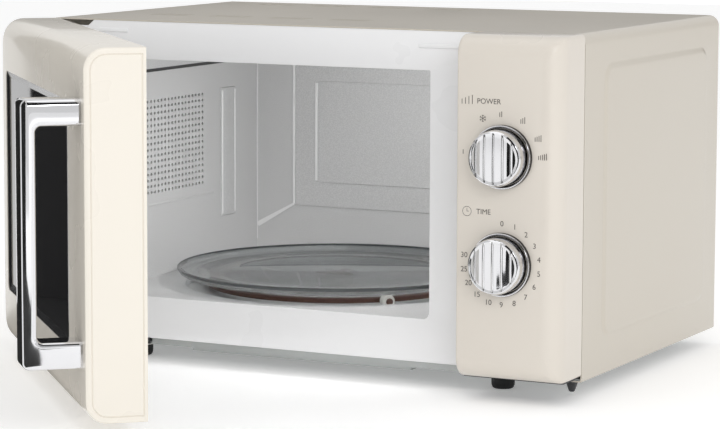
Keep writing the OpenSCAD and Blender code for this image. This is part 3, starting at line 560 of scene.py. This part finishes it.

# ---------------------------------------------------------------- control panel
# A moulded cream panel, rounded along its top, bottom and outer front edges, fills the front right
# of the oven. Printed marks surround the two dials.
# Panel and door are one cream plastic; the panel's copy is painted darker, as shade.
panel_plastic_painted_shade = surface("panel_plastic_painted_shade", rgb(216, 209, 199), 0.30, coat=0.3, bump=0.02)
cream_plastic = surface("cream_plastic", rgb(232, 226, 215), 0.28, coat=0.35, bump=0.02)
print_grey = surface("print_grey", rgb(84, 80, 76), 0.6, bump=0.0)
cp_lo, cp_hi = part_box("control_panel")
px0, px1 = cp_lo.x / MM, cp_hi.x / MM
pz_lo, pz_hi = (cp_lo.z - ORIGIN.z) / MM, (cp_hi.z - ORIGIN.z) / MM
face_y = (cp_lo.y - ORIGIN.y) / MM
pan_back = (cp_hi.y - ORIGIN.y) / MM

bm = bmesh.new()
round_r = 14.5
corner_r = 3
rings = [[(x, pan_back, z) for x, z in round_rect(px0, pz_lo, px1, pz_hi, corner_r, 8)]]
for k in range(11):
    t = math.radians(9 * k)
    inset = round_r * (1 - math.cos(t))
    left = 2.0 * (1 - math.cos(t))
    r_out = corner_r + 5 * inset / round_r
    rings.append([(x, face_y + round_r * (1 - math.sin(t)), z) for x, z in
                  round_rect(px0 + left, pz_lo + inset, px1 - inset, pz_hi - inset,
                             (corner_r, r_out, r_out, corner_r), 8)])
back_rim = loft(bm, rings)
bmesh.ops.edgeloop_fill(bm, edges=back_rim)
bmesh.ops.recalc_face_normals(bm, faces=bm.faces[:])
piece(bm, "panel_moulding", "chassis", panel_plastic_painted_shade, ["control_panel"], crease=40)

# A dark strip under the panel's lower edge is painted shade between the panel and the base.
bm = bmesh.new()
block(bm, (px0 + 1, face_y + 15, pz_lo - 0.9), (px1 - 2, pan_back - 0.3, pz_lo + 0.2))
piece(bm, "panel_gap_shade", "chassis", dark_steel)

knob_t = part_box("timer_knob")
knob_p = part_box("power_knob")
kx = (knob_t[0].x + knob_t[1].x) / 2 / MM
tz = ((knob_t[0].z + knob_t[1].z) / 2 - ORIGIN.z) / MM
wz = ((knob_p[0].z + knob_p[1].z) / 2 - ORIGIN.z) / MM

legends = bmesh.new()
ink_y = face_y - 0.10


def stroke(x0, z0, x1, z1, w=0.5):
    """Thin printed line."""
    d = Vector((x1 - x0, z1 - z0)).normalized() * w / 2
    n = Vector((-d.y, d.x))
    pts = [(x0 + n.x, z0 + n.y), (x0 - n.x, z0 - n.y), (x1 - n.x, z1 - n.y), (x1 + n.x, z1 + n.y)]
    vs = [legends.verts.new((x, ink_y, z)) for x, z in pts]
    f = legends.faces.new(vs)
    f.normal_update()
    if f.normal.y > 0:
        f.normal_flip()


def word(text, x, z, height, align="CENTER"):
    """Printed characters as flat mesh, centred at (x, z)."""
    cu = bpy.data.curves.new("ink", "FONT")
    cu.body = text
    cu.size = height / 0.73
    cu.align_x = align
    cu.align_y = "CENTER"
    o = bpy.data.objects.new("ink", cu)
    bpy.context.scene.collection.objects.link(o)
    bpy.context.view_layer.update()
    me = bpy.data.meshes.new_from_object(o)
    bpy.data.objects.remove(o)
    bpy.data.curves.remove(cu)
    place = Matrix.Translation((x, ink_y, z)) @ Matrix.Rotation(math.radians(90), 4, "X")
    me.transform(place)
    legends.from_mesh(me)
    bpy.data.meshes.remove(me)


def bars(x, z, n, low=2.4, high=4.6, gap=1.45):
    """A row of upright strokes that grow to the right."""
    for i in range(n):
        h = low + (high - low) * (i + 1) / max(n, 3)
        sx = x + (i - (n - 1) / 2) * gap
        stroke(sx, z - high / 2, sx, z - high / 2 + h)


# Minutes stand every 20 degrees round the lower dial, clockwise from 0 at its top.
minute_step = 20
digit_h = 3.9
for i, n in enumerate((0, 1, 2, 3, 4, 5, 6, 7, 8, 9, 10, 15, 20, 25, 30)):
    a = math.radians(90 - i * minute_step)
    ring_r = 28.4 if n < 10 else 29.0
    word(str(n), kx + ring_r * math.cos(a), tz + ring_r * math.sin(a), digit_h)

# Power levels stand round the upper dial as one to five bars, with a snowflake for defrost.
level_r = 30.0
for n, deg in ((1, -84), (2, -3), (3, 30), (4, 62), (5, 87)):
    a = math.radians(90 - deg)
    bars(kx + level_r * math.cos(a), wz + level_r * math.sin(a), n)
flake_r = 30.2
a = math.radians(120)
sx, sz = kx + flake_r * math.cos(a), wz + flake_r * math.sin(a)
for k in range(6):
    b = math.radians(30 + 60 * k)
    ex, ez = sx + 2.5 * math.cos(b), sz + 2.5 * math.sin(b)
    stroke(sx, sz, ex, ez, 0.36)
    mx, mz = sx + 1.6 * math.cos(b), sz + 1.6 * math.sin(b)
    for s in (-1, 1):
        c = b + s * math.radians(50)
        stroke(mx, mz, mx + 1.0 * math.cos(c), mz + 1.0 * math.sin(c), 0.3)

# A heading stands over each dial: rising bars with POWER, and a clock face with TIME.
clock_x, word_x, word_h, fine_line = 150.4, 157.4, 3.8, 0.32
power_z, time_z = 199.4, 122.4
bars(clock_x - 0.4, power_z + 1.0, 4, 2.6, 6.4, 2.6)
word("POWER", word_x, power_z, word_h, "LEFT")
word("TIME", word_x, time_z, word_h, "LEFT")
clock = arc(clock_x, time_z, 3.3, 0, 360, 40)
for (x0, z0), (x1, z1) in zip(clock, clock[1:]):
    stroke(x0, z0, x1, z1, fine_line)
stroke(clock_x, time_z + 2.2, clock_x, time_z - 0.1, fine_line)
stroke(clock_x, time_z, clock_x + 1.6, time_z, fine_line)
piece(legends, "panel_print", "chassis", print_grey)

# ---------------------------------------------------------------- dials
# Each dial is a chromed moulding whose domed face has fine ridges, and it stands in a chromed
# dished bezel with a dark outer wall.
chrome = surface("chrome_plate", rgb(226, 226, 228), 0.055, metallic=1.0, vary=0.01, bump=0.004,
                 grain=300.0)
knob_rad = (knob_t[1].x - knob_t[0].x) / 2 / MM
bez_lo, bez_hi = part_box("knob_bezels")
bezel_rad = (bez_hi.x - bez_lo.x) / 2 / MM
bm = bmesh.new()
for z in (wz, tz):
    lathe(bm, [(knob_rad + 0.3, -0.3), (knob_rad + 0.9, -0.7), (knob_rad + 1.7, -1.7),
               (bezel_rad - 1.3, -3.0), (bezel_rad - 0.7, -3.6), (bezel_rad - 0.2, -3.5),
               (bezel_rad - 0.1, -2.6)], (kx, face_y, z), "Y", 96)
piece(bm, "bezel_rings", "chassis", chrome, ["knob_bezels"], crease=60)

black_chrome = surface("black_chrome", rgb(58, 58, 60), 0.12, metallic=1.0, bump=0.0, vary=0.01)
bm = bmesh.new()
for z in (wz, tz):
    lathe(bm, [(bezel_rad - 0.1, -2.9), (bezel_rad, -2.6), (bezel_rad, 0.0)], (kx, face_y, z), "Y", 96)
piece(bm, "bezel_walls", "chassis", black_chrome)

knob_face = (knob_t[0].y - ORIGIN.y) / MM
rim_r = knob_rad / 1.10
ridge_pitch, ridge_wide, ridge_high = 6.75, 0.42, 0.42


def face_dip(x, z):
    """How far the domed face lies behind its centre."""
    return 1.5 * (x / rim_r) ** 2 + 0.45 * (z / rim_r) ** 2


for name, body, z, node in (("dial_timer", "timer_control", tz, "timer_knob"),
                            ("dial_power", "power_control", wz, "power_knob")):
    bm = bmesh.new()
    bmesh.ops.create_grid(bm, x_segments=240, y_segments=28, size=1.0)
    for v in bm.verts:
        u, t = v.co.x, v.co.y
        x = rim_r * max(-0.9995, min(0.9995, u))
        zz = t * math.sqrt(max(0.0, rim_r ** 2 - x * x))
        r = math.hypot(x, zz)
        off = abs(x - ridge_pitch * round(x / ridge_pitch))
        sink = ridge_high * (1 - math.exp(-(off / ridge_wide) ** 2)) - 0.05 * (off / 3.4) ** 2
        fade = min(1.0, max(0.0, (rim_r - r) / 1.4))
        v.co = Vector((kx + x, knob_face + face_dip(x, zz) + sink * fade, z + zz))
    ring = [e for e in bm.edges if len(e.link_faces) == 1]
    for grow, depth in ((1.03, 0.75), (1.06, 1.3), (1.082, 2.2), (1.095, 3.4), (1.10, 4.8), (1.10, 15.1)):
        out = bmesh.ops.extrude_edge_only(bm, edges=ring)["geom"]
        vs = [g for g in out if isinstance(g, bmesh.types.BMVert)]
        ring = [g for g in out if isinstance(g, bmesh.types.BMEdge)]
        for v in vs:
            d = Vector((v.co.x - kx, 0, v.co.z - z))
            d = d.normalized() * rim_r * grow
            lift = 0.5 if depth < 1.0 else 0.3
            dip = face_dip(d.x, d.z) * lift if depth < 3 else 0.0
            v.co = Vector((kx + d.x, knob_face + depth + dip, z + d.z))
    bmesh.ops.recalc_face_normals(bm, faces=bm.faces[:])
    for f in bm.faces:
        f.normal_update()
    mid = min(bm.faces, key=lambda f: (f.calc_center_median() - Vector((kx, knob_face, z))).length)
    if mid.normal.y > 0:
        bmesh.ops.reverse_faces(bm, faces=bm.faces[:])
    piece(bm, name, body, chrome, [node], crease=28)

# ---------------------------------------------------------------- door
# The door is a deep cream moulding, very round at its hinge side. Its end face carries a raised
# border; a dark window sits in a bevelled black frame and a chrome strip closes its free side.
black_gloss = surface("black_gloss", rgb(34, 34, 36), 0.16, coat=0.3, bump=0.01)
dark_glass = surface("dark_window_glass", rgb(30, 30, 32), 0.03, bump=0.0, ior=2.1, vary=0.01)
hinge = [j for j in frame["joints"] if j["name"] == "door_hinge"][0]
hx = hinge["pos_m"][0] / MM
hy = (hinge["pos_m"][1] - ORIGIN.y) / MM
open_deg = -hinge["range_deg"][0]
hinge_r = 4.5
dx0, dx1 = hx - hinge_r, px0 - 2.0
dz0, dz1 = 0.7, wrap_h + 0.7
door_back = hy + hinge_r


def on_door(bm):
    """Swings a piece modelled on the shut door to where the door stands open."""
    bmesh.ops.rotate(bm, verts=bm.verts[:], cent=(hx, hy, 0),
                     matrix=Matrix.Rotation(math.radians(-open_deg), 3, "Z"))


def door_outline(y, swell):
    """Outline of the door at one depth; swell runs from 0 at the back to 1 at the flat face."""
    c = 18 - 11 * swell
    x0, z0, z1 = dx0 + 8 * swell, dz0 + round_r * swell, dz1 - round_r * swell
    flat = arc(x0 + c, z0 + c, c, 180, 270, 10) + [(dx1, z0), (dx1, z1)]
    flat += arc(x0 + c, z1 - c, c, 90, 180, 10)
    return [(x, y, z) for x, z in flat]


win_x0, win_x1 = dx0 + 22.5, dx1 - 63.0
win_z0, win_z1 = 41.0, wrap_h - 38.0
bm = bmesh.new()
rings = [door_outline(door_back, 0)]
for k in range(11):
    t = math.radians(9 * k)
    rings.append(door_outline(face_y + round_r * (1 - math.sin(t)), 1 - math.cos(t)))
back_rim = loft(bm, rings)
bmesh.ops.edgeloop_fill(bm, edges=back_rim)
bmesh.ops.recalc_face_normals(bm, faces=bm.faces[:])
bmesh.ops.dissolve_faces(bm, faces=[f for f in bm.faces if f.normal.x > 0.99])
end = max((f for f in bm.faces if f.normal.x > 0.99), key=lambda f: f.calc_area())
end_rim = [e for e in end.edges if not all(near(v.co.y, door_back) for v in e.verts)]
bmesh.ops.bevel(bm, geom=end_rim, offset=1.4, segments=4, profile=0.5, material=-1,
                affect="EDGES")
end = max((f for f in bm.faces if f.normal.x > 0.99), key=lambda f: f.calc_area())
for thick, depth in ((2.4, 0.0), (0.55, -0.6), (0.7, 0.6)):
    bmesh.ops.inset_region(bm, faces=[end], thickness=thick, depth=depth, use_even_offset=True)
    if thick > 1:
        for v in end.verts:
            if v.co.y > door_back - 6:
                v.co.y = door_back - 2.0
hinge_edge = [e for e in bm.edges if all(near(v.co.x, dx0) and near(v.co.y, door_back)
                                         for v in e.verts)]
bmesh.ops.bevel(bm, geom=hinge_edge, offset=4.3, segments=6, profile=0.5, material=-1,
                affect="EDGES")
face = max((f for f in bm.faces if f.normal.y < -0.99), key=lambda f: f.calc_area())
rim = face.edges[:]
bmesh.ops.delete(bm, geom=[face], context="FACES_ONLY")
_, hole = chain(bm, [(x, face_y, z) for x, z in round_rect(win_x0, win_z0, win_x1, win_z1, 5.0)])
bmesh.ops.triangle_fill(bm, use_beauty=True, use_dissolve=False, edges=rim + hole)
push(bm, hole, (0, 3.0, 0))
back = max((f for f in bm.faces if f.normal.y > 0.99), key=lambda f: f.calc_area())
bmesh.ops.inset_region(bm, faces=[back], thickness=2.4, depth=0.0)
bmesh.ops.inset_region(bm, faces=[back], thickness=0.4, depth=-6.0)
bmesh.ops.delete(bm, geom=[back], context="FACES_ONLY")
piece(bm, "door_moulding", "door", cream_plastic, ["door_shell"], crease=40,
      turn=on_door)

bm = bmesh.new()
plate_y(bm, round_rect(win_x0, win_z0, win_x1, win_z1, 5.0),
        [round_rect(win_x0 + 6, win_z0 + 6, win_x1 - 6, win_z1 - 6, 3.0)], face_y + 0.5, face_y + 5.0)
for v in bm.verts:
    deep = min(v.co.x - win_x0, win_x1 - v.co.x, v.co.z - win_z0, win_z1 - v.co.z)
    if deep > 4 and v.co.y < face_y + 1:
        v.co.y = face_y + 2.2
piece(bm, "window_frame", "door", black_gloss, ["window_bezel"], turn=on_door)
bm = bmesh.new()
block(bm, (win_x0 + 4, face_y + 2.0, win_z0 + 4), (win_x1 - 4, face_y + 5.0, win_z1 - 4), 0.2, 1)
piece(bm, "window_pane", "door", dark_glass, ["window_glass"], turn=on_door)
bm = bmesh.new()
block(bm, (win_x1 - 2.6, face_y + 0.1, win_z0 + 1), (win_x1, face_y + 2.3, win_z1 - 1), 0.5, 3)
piece(bm, "window_strip", "door", chrome, ["window_trim"], turn=on_door)

# The back of the door: a pale cover frames a perforated steel screen behind a clear sheet, and
# two chrome-plated legs carry the round-cornered bar handle on the front.
inner_plastic = surface("inner_cover_plastic", rgb(224, 223, 219), 0.42, bump=0.04)
film = surface("clear_film", rgb(235, 238, 238), 0.05, clear=0.9, ior=1.4, bump=0.0, vary=0.005)
screen = surface("screen_steel", rgb(62, 62, 64), 0.45, metallic=0.3)
nt = screen.node_tree
tc = nt.nodes.new("ShaderNodeTexCoord")
turn_back = nt.nodes.new("ShaderNodeMapping")
turn_back.inputs["Rotation"].default_value = (0, 0, math.radians(open_deg))
cells = nt.nodes.new("ShaderNodeTexVoronoi")
cells.inputs["Scale"].default_value = 420.0
cells.inputs["Randomness"].default_value = 0.0
holes = nt.nodes.new("ShaderNodeMapRange")
holes.inputs["From Min"].default_value = 0.28
holes.inputs["From Max"].default_value = 0.36
holes.inputs["To Min"].default_value = 0.0
holes.inputs["To Max"].default_value = 1.0
dots = nt.nodes.new("ShaderNodeMix")
dots.data_type = "RGBA"
dots.inputs[6].default_value = rgb(12, 12, 13)
dots.inputs[7].default_value = rgb(88, 88, 90)
nt.links.new(tc.outputs["Object"], turn_back.inputs["Vector"])
nt.links.new(turn_back.outputs["Vector"], cells.inputs["Vector"])
nt.links.new(cells.outputs["Distance"], holes.inputs["Value"])
nt.links.new(holes.outputs["Result"], dots.inputs[0])
shader = [n for n in nt.nodes if n.type == "BSDF_PRINCIPLED"][0]
nt.links.new(dots.outputs[2], shader.inputs["Base Color"])
dress("door_screen", screen)
dress("inner_film", film)
dress("door_frame", white_enamel)
bm = bmesh.new()
plate_y(bm, round_rect(dx0 + 15.5, dz0 + 2.5, dx1 - 2.6, dz1 - 2.5, 3.0),
        [round_rect(cx0 + 14, floor_z + 14, cx1 - 14, ceil_z - 14, 6.0)],
        door_back - 1.9, door_back - 0.1)
rims = [e for e in bm.edges if len(e.link_faces) == 2 and e.calc_face_angle(0.0) > 1.0
        and all(v.co.y > door_back - 0.2 for v in e.verts)]
bmesh.ops.bevel(bm, geom=rims, offset=0.7, segments=3, profile=0.5, material=-1, affect="EDGES")
piece(bm, "cover_frame", "door", inner_plastic, ["inner_cover"], turn=on_door)

h_hi_x = dx1 - 10.0
h_lo_x = h_hi_x - 24.0
bar_y0, bar_y1 = face_y - 39.5, face_y - 29.7
h_mid = (dz0 + dz1) / 2 + 1
h_z0, h_z1 = h_mid - 88.0, h_mid + 88.0
leg = 17.5
bm = bmesh.new()
outer = [(face_y, h_z1)] + arc(bar_y0 + 4.5, h_z1 - 4.5, 4.5, 90, 180, 8)
outer += arc(bar_y0 + 4.5, h_z0 + 4.5, 4.5, 180, 270, 8) + [(face_y, h_z0)]
inner = [(face_y, h_z0 + leg)] + arc(bar_y1 + 4, h_z0 + leg + 4, 4, 270, 180, 8)
inner += arc(bar_y1 + 4, h_z1 - leg - 4, 4, 180, 90, 8) + [(face_y, h_z1 - leg)]
_, rim = chain(bm, [(h_lo_x, y, z) for y, z in outer + inner])
side = bmesh.ops.edgeloop_fill(bm, edges=rim)["faces"]
out = bmesh.ops.extrude_face_region(bm, geom=side)["geom"]
bmesh.ops.translate(bm, verts=[g for g in out if isinstance(g, bmesh.types.BMVert)],
                    vec=(h_hi_x - h_lo_x, 0, 0))
bmesh.ops.recalc_face_normals(bm, faces=bm.faces[:])


def on_side(e, test):
    """Edge lying in a side face of the handle whose middle passes a test."""
    m = (e.verts[0].co + e.verts[1].co) / 2
    flat = near(e.verts[0].co.x, e.verts[1].co.x) and not near(m.y, face_y)
    return flat and test(m)


def in_gap(m):
    """True on the edges that face the door across the finger gap."""
    return m.y > bar_y1 - 0.5 and h_z0 + leg - 0.5 < m.z < h_z1 - leg + 0.5


def on_top(m):
    """True on the edges of the upper leg's top."""
    return not in_gap(m) and m.z > h_z1 - 4.6 and m.y > bar_y0 + 4


for test, r in ((in_gap, 2.8), (on_top, 4.2), (lambda m: not in_gap(m) and not on_top(m), 1.2)):
    bmesh.ops.bevel(bm, geom=[e for e in bm.edges if on_side(e, test)], offset=r, segments=5,
                    profile=0.5, material=-1, affect="EDGES")
piece(bm, "handle_bar", "door", chrome, ["handle"], crease=25, turn=on_door)
dress("handle_screws", screw_steel)
dress("door_magnet", dark_steel)

# ---------------------------------------------------------------- parts behind the panels
# Magnetron, transformer, capacitor, fan, motors and controls fill the space on the right. They
# are plated steel, aluminium, copper and plain plastics.
bare = surface("bare_sheet", rgb(188, 190, 192), 0.36, metallic=0.8, vary=0.05)
yoke = surface("plated_yoke", rgb(190, 160, 110), 0.38, metallic=0.8, vary=0.06)
fins = surface("fin_aluminium", rgb(205, 206, 208), 0.30, metallic=0.9)
core = surface("core_laminations", rgb(74, 70, 64), 0.5, metallic=0.4, vary=0.1)
copper = surface("enamelled_copper", rgb(166, 92, 44), 0.35, metallic=0.6, bump=0.3, grain=1500.0)
black_matt = surface("black_matt_plastic", rgb(38, 36, 35), 0.55)
board = surface("board_green", rgb(48, 92, 60), 0.45)
bulb = surface("bulb_glass", rgb(244, 236, 216), 0.1, clear=0.6)
brass = surface("bell_brass", rgb(188, 164, 106), 0.28, metallic=1.0)
phenolic = surface("phenolic_brown", rgb(110, 90, 68), 0.5)
motor = surface("motor_steel", rgb(142, 144, 147), 0.4, metallic=0.7)
for finish, names in ((bare, ("waveguide", "capacitor_bracket", "hinge_upper", "catch_plate",
                              "turntable_motor", "timer_unit")),
                      (yoke, ("magnetron_body",)), (fins, ("magnetron_fins", "hv_capacitor")),
                      (core, ("transformer_core",)), (copper, ("transformer_coils", "filter_choke")),
                      (black_matt, ("hv_diode", "thermal_cutout", "reed_switch")),
                      (white_nylon, ("fan_shroud", "fan_blade", "lamp_holder")),
                      (motor, ("fan_motor",)), (board, ("filter_board",)), (bulb, ("lamp_bulb",)),
                      (brass, ("timer_bell",)), (phenolic, ("power_selector",))):
    for n in names:
        dress(n, finish)

# ---------------------------------------------------------------- studio
# Pale floor, white surroundings, a large soft light in front and one overhead. Dark cards out of
# sight give the chrome and the window something to reflect.
scene = bpy.context.scene
scene.view_settings.view_transform = "Standard"
floor_mat = surface("studio_floor", rgb(250, 250, 250), 0.8, vary=0.002, bump=0.0, glow=0.22)
bm = bmesh.new()
bmesh.ops.create_grid(bm, x_segments=1, y_segments=1, size=9.0)
me = bpy.data.meshes.new("studio_floor")
bm.to_mesh(me)
bm.free()
me.materials.append(floor_mat)
ground = bpy.data.objects.new("studio_floor", me)
scene.collection.objects.link(ground)

dark_card = surface("studio_card", rgb(22, 22, 22), 0.9, bump=0.0)
white_card = surface("studio_backdrop", rgb(255, 255, 255), 0.9, bump=0.0, glow=1.0)


def card(name, corners, finish=dark_card):
    """Flat card; only mirror-like surfaces see it."""
    bm = bmesh.new()
    bm.faces.new([bm.verts.new(p) for p in corners])
    me = bpy.data.meshes.new(name)
    bm.to_mesh(me)
    bm.free()
    me.materials.append(finish)
    o = bpy.data.objects.new(name, me)
    scene.collection.objects.link(o)
    o.visible_camera = False
    o.visible_diffuse = False
    o.visible_shadow = False
    o.visible_transmission = False
    return o


card("card_left", [(-0.475, -0.36, 0), (-0.475, 0.0, 0), (-0.475, 0.0, 0.4), (-0.475, -0.36, 0.4)])
card("card_left_low", [(-0.475, 0.0, 0.001), (-0.475, -0.36, 0.001), (-0.06, -0.45, 0.001),
                       (-0.06, -0.229, 0.001)])
card("card_back", [(-1.3, 0.95, 0.24), (0.45, 0.95, 0.24), (0.45, 0.95, 0.42), (-1.3, 0.95, 0.42)])
card("card_front", [(-0.03, -1.11, 0), (0.65, -1.11, 0), (0.65, -1.11, 0.75), (-0.03, -1.11, 0.75)])
card("card_front_low", [(-0.03, -1.11, 0.001), (0.65, -1.11, 0.001), (0.45, -0.80, 0.001),
                        (0.05, -0.55, 0.001)])
card("card_high", [(0.55, -1.15, 0.55), (1.05, -0.45, 0.55), (1.05, -0.45, 1.5), (0.55, -1.15, 1.5)])

wall = card("backdrop", [(-9, 5, -0.1), (9, 5, -0.1), (9, 5, 6), (-9, 5, 6)], white_card)
wall.visible_camera = True
wall.visible_glossy = False

world = bpy.data.worlds.new("studio")
scene.world = world
world.use_nodes = True
world.node_tree.nodes["Background"].inputs["Color"].default_value = (1.0, 1.0, 1.0, 1.0)
world.node_tree.nodes["Background"].inputs["Strength"].default_value = 0.77


def softbox(name, place, aim, size, watts):
    """Rectangular area light."""
    d = bpy.data.lights.new(name, "AREA")
    d.shape = "RECTANGLE"
    d.size, d.size_y = size
    d.energy = watts
    o = bpy.data.objects.new(name, d)
    o.location = place
    o.rotation_euler = (Vector(aim) - Vector(place)).to_track_quat("-Z", "Y").to_euler()
    o.visible_camera = False
    scene.collection.objects.link(o)


softbox("key", (1.7, -2.1, 1.3), (0.0, 0.0, 0.12), (1.6, 1.2), 19)
softbox("over", (-0.3, -0.2, 2.2), (0.0, 0.0, 0.1), (1.8, 1.4), 4)
lamp_at = ORIGIN + Vector((cx1 - 30, 40, ceil_z - 6)) * MM
lamp_aim = ORIGIN + Vector((cx0 + 60, back_y - 40, 90)) * MM
softbox("oven_lamp", lamp_at, lamp_aim, (0.05, 0.03), 0.42)

a, e, roll = math.radians(27.2), math.radians(6.57), math.radians(0.11)
back = Vector((math.sin(a) * math.cos(e), -math.cos(a) * math.cos(e), math.sin(e)))
right = Vector((math.cos(a), math.sin(a), 0.0))
up = back.cross(right)
right, up = (right * math.cos(roll) + up * math.sin(roll),
             up * math.cos(roll) - right * math.sin(roll))
cam = bpy.data.cameras.new("main_camera")
cam.sensor_width = 36.0
cam.lens = 145.83
cam.shift_x = 0.0414
cam.shift_y = -0.0379
co = bpy.data.objects.new("main_camera", cam)
rot = Matrix((right, up, back)).transposed().to_4x4()
co.matrix_world = Matrix.Translation(ORIGIN + Vector((0.98621, -1.87804, 0.3708))) @ rot
scene.collection.objects.link(co)
scene.camera = co
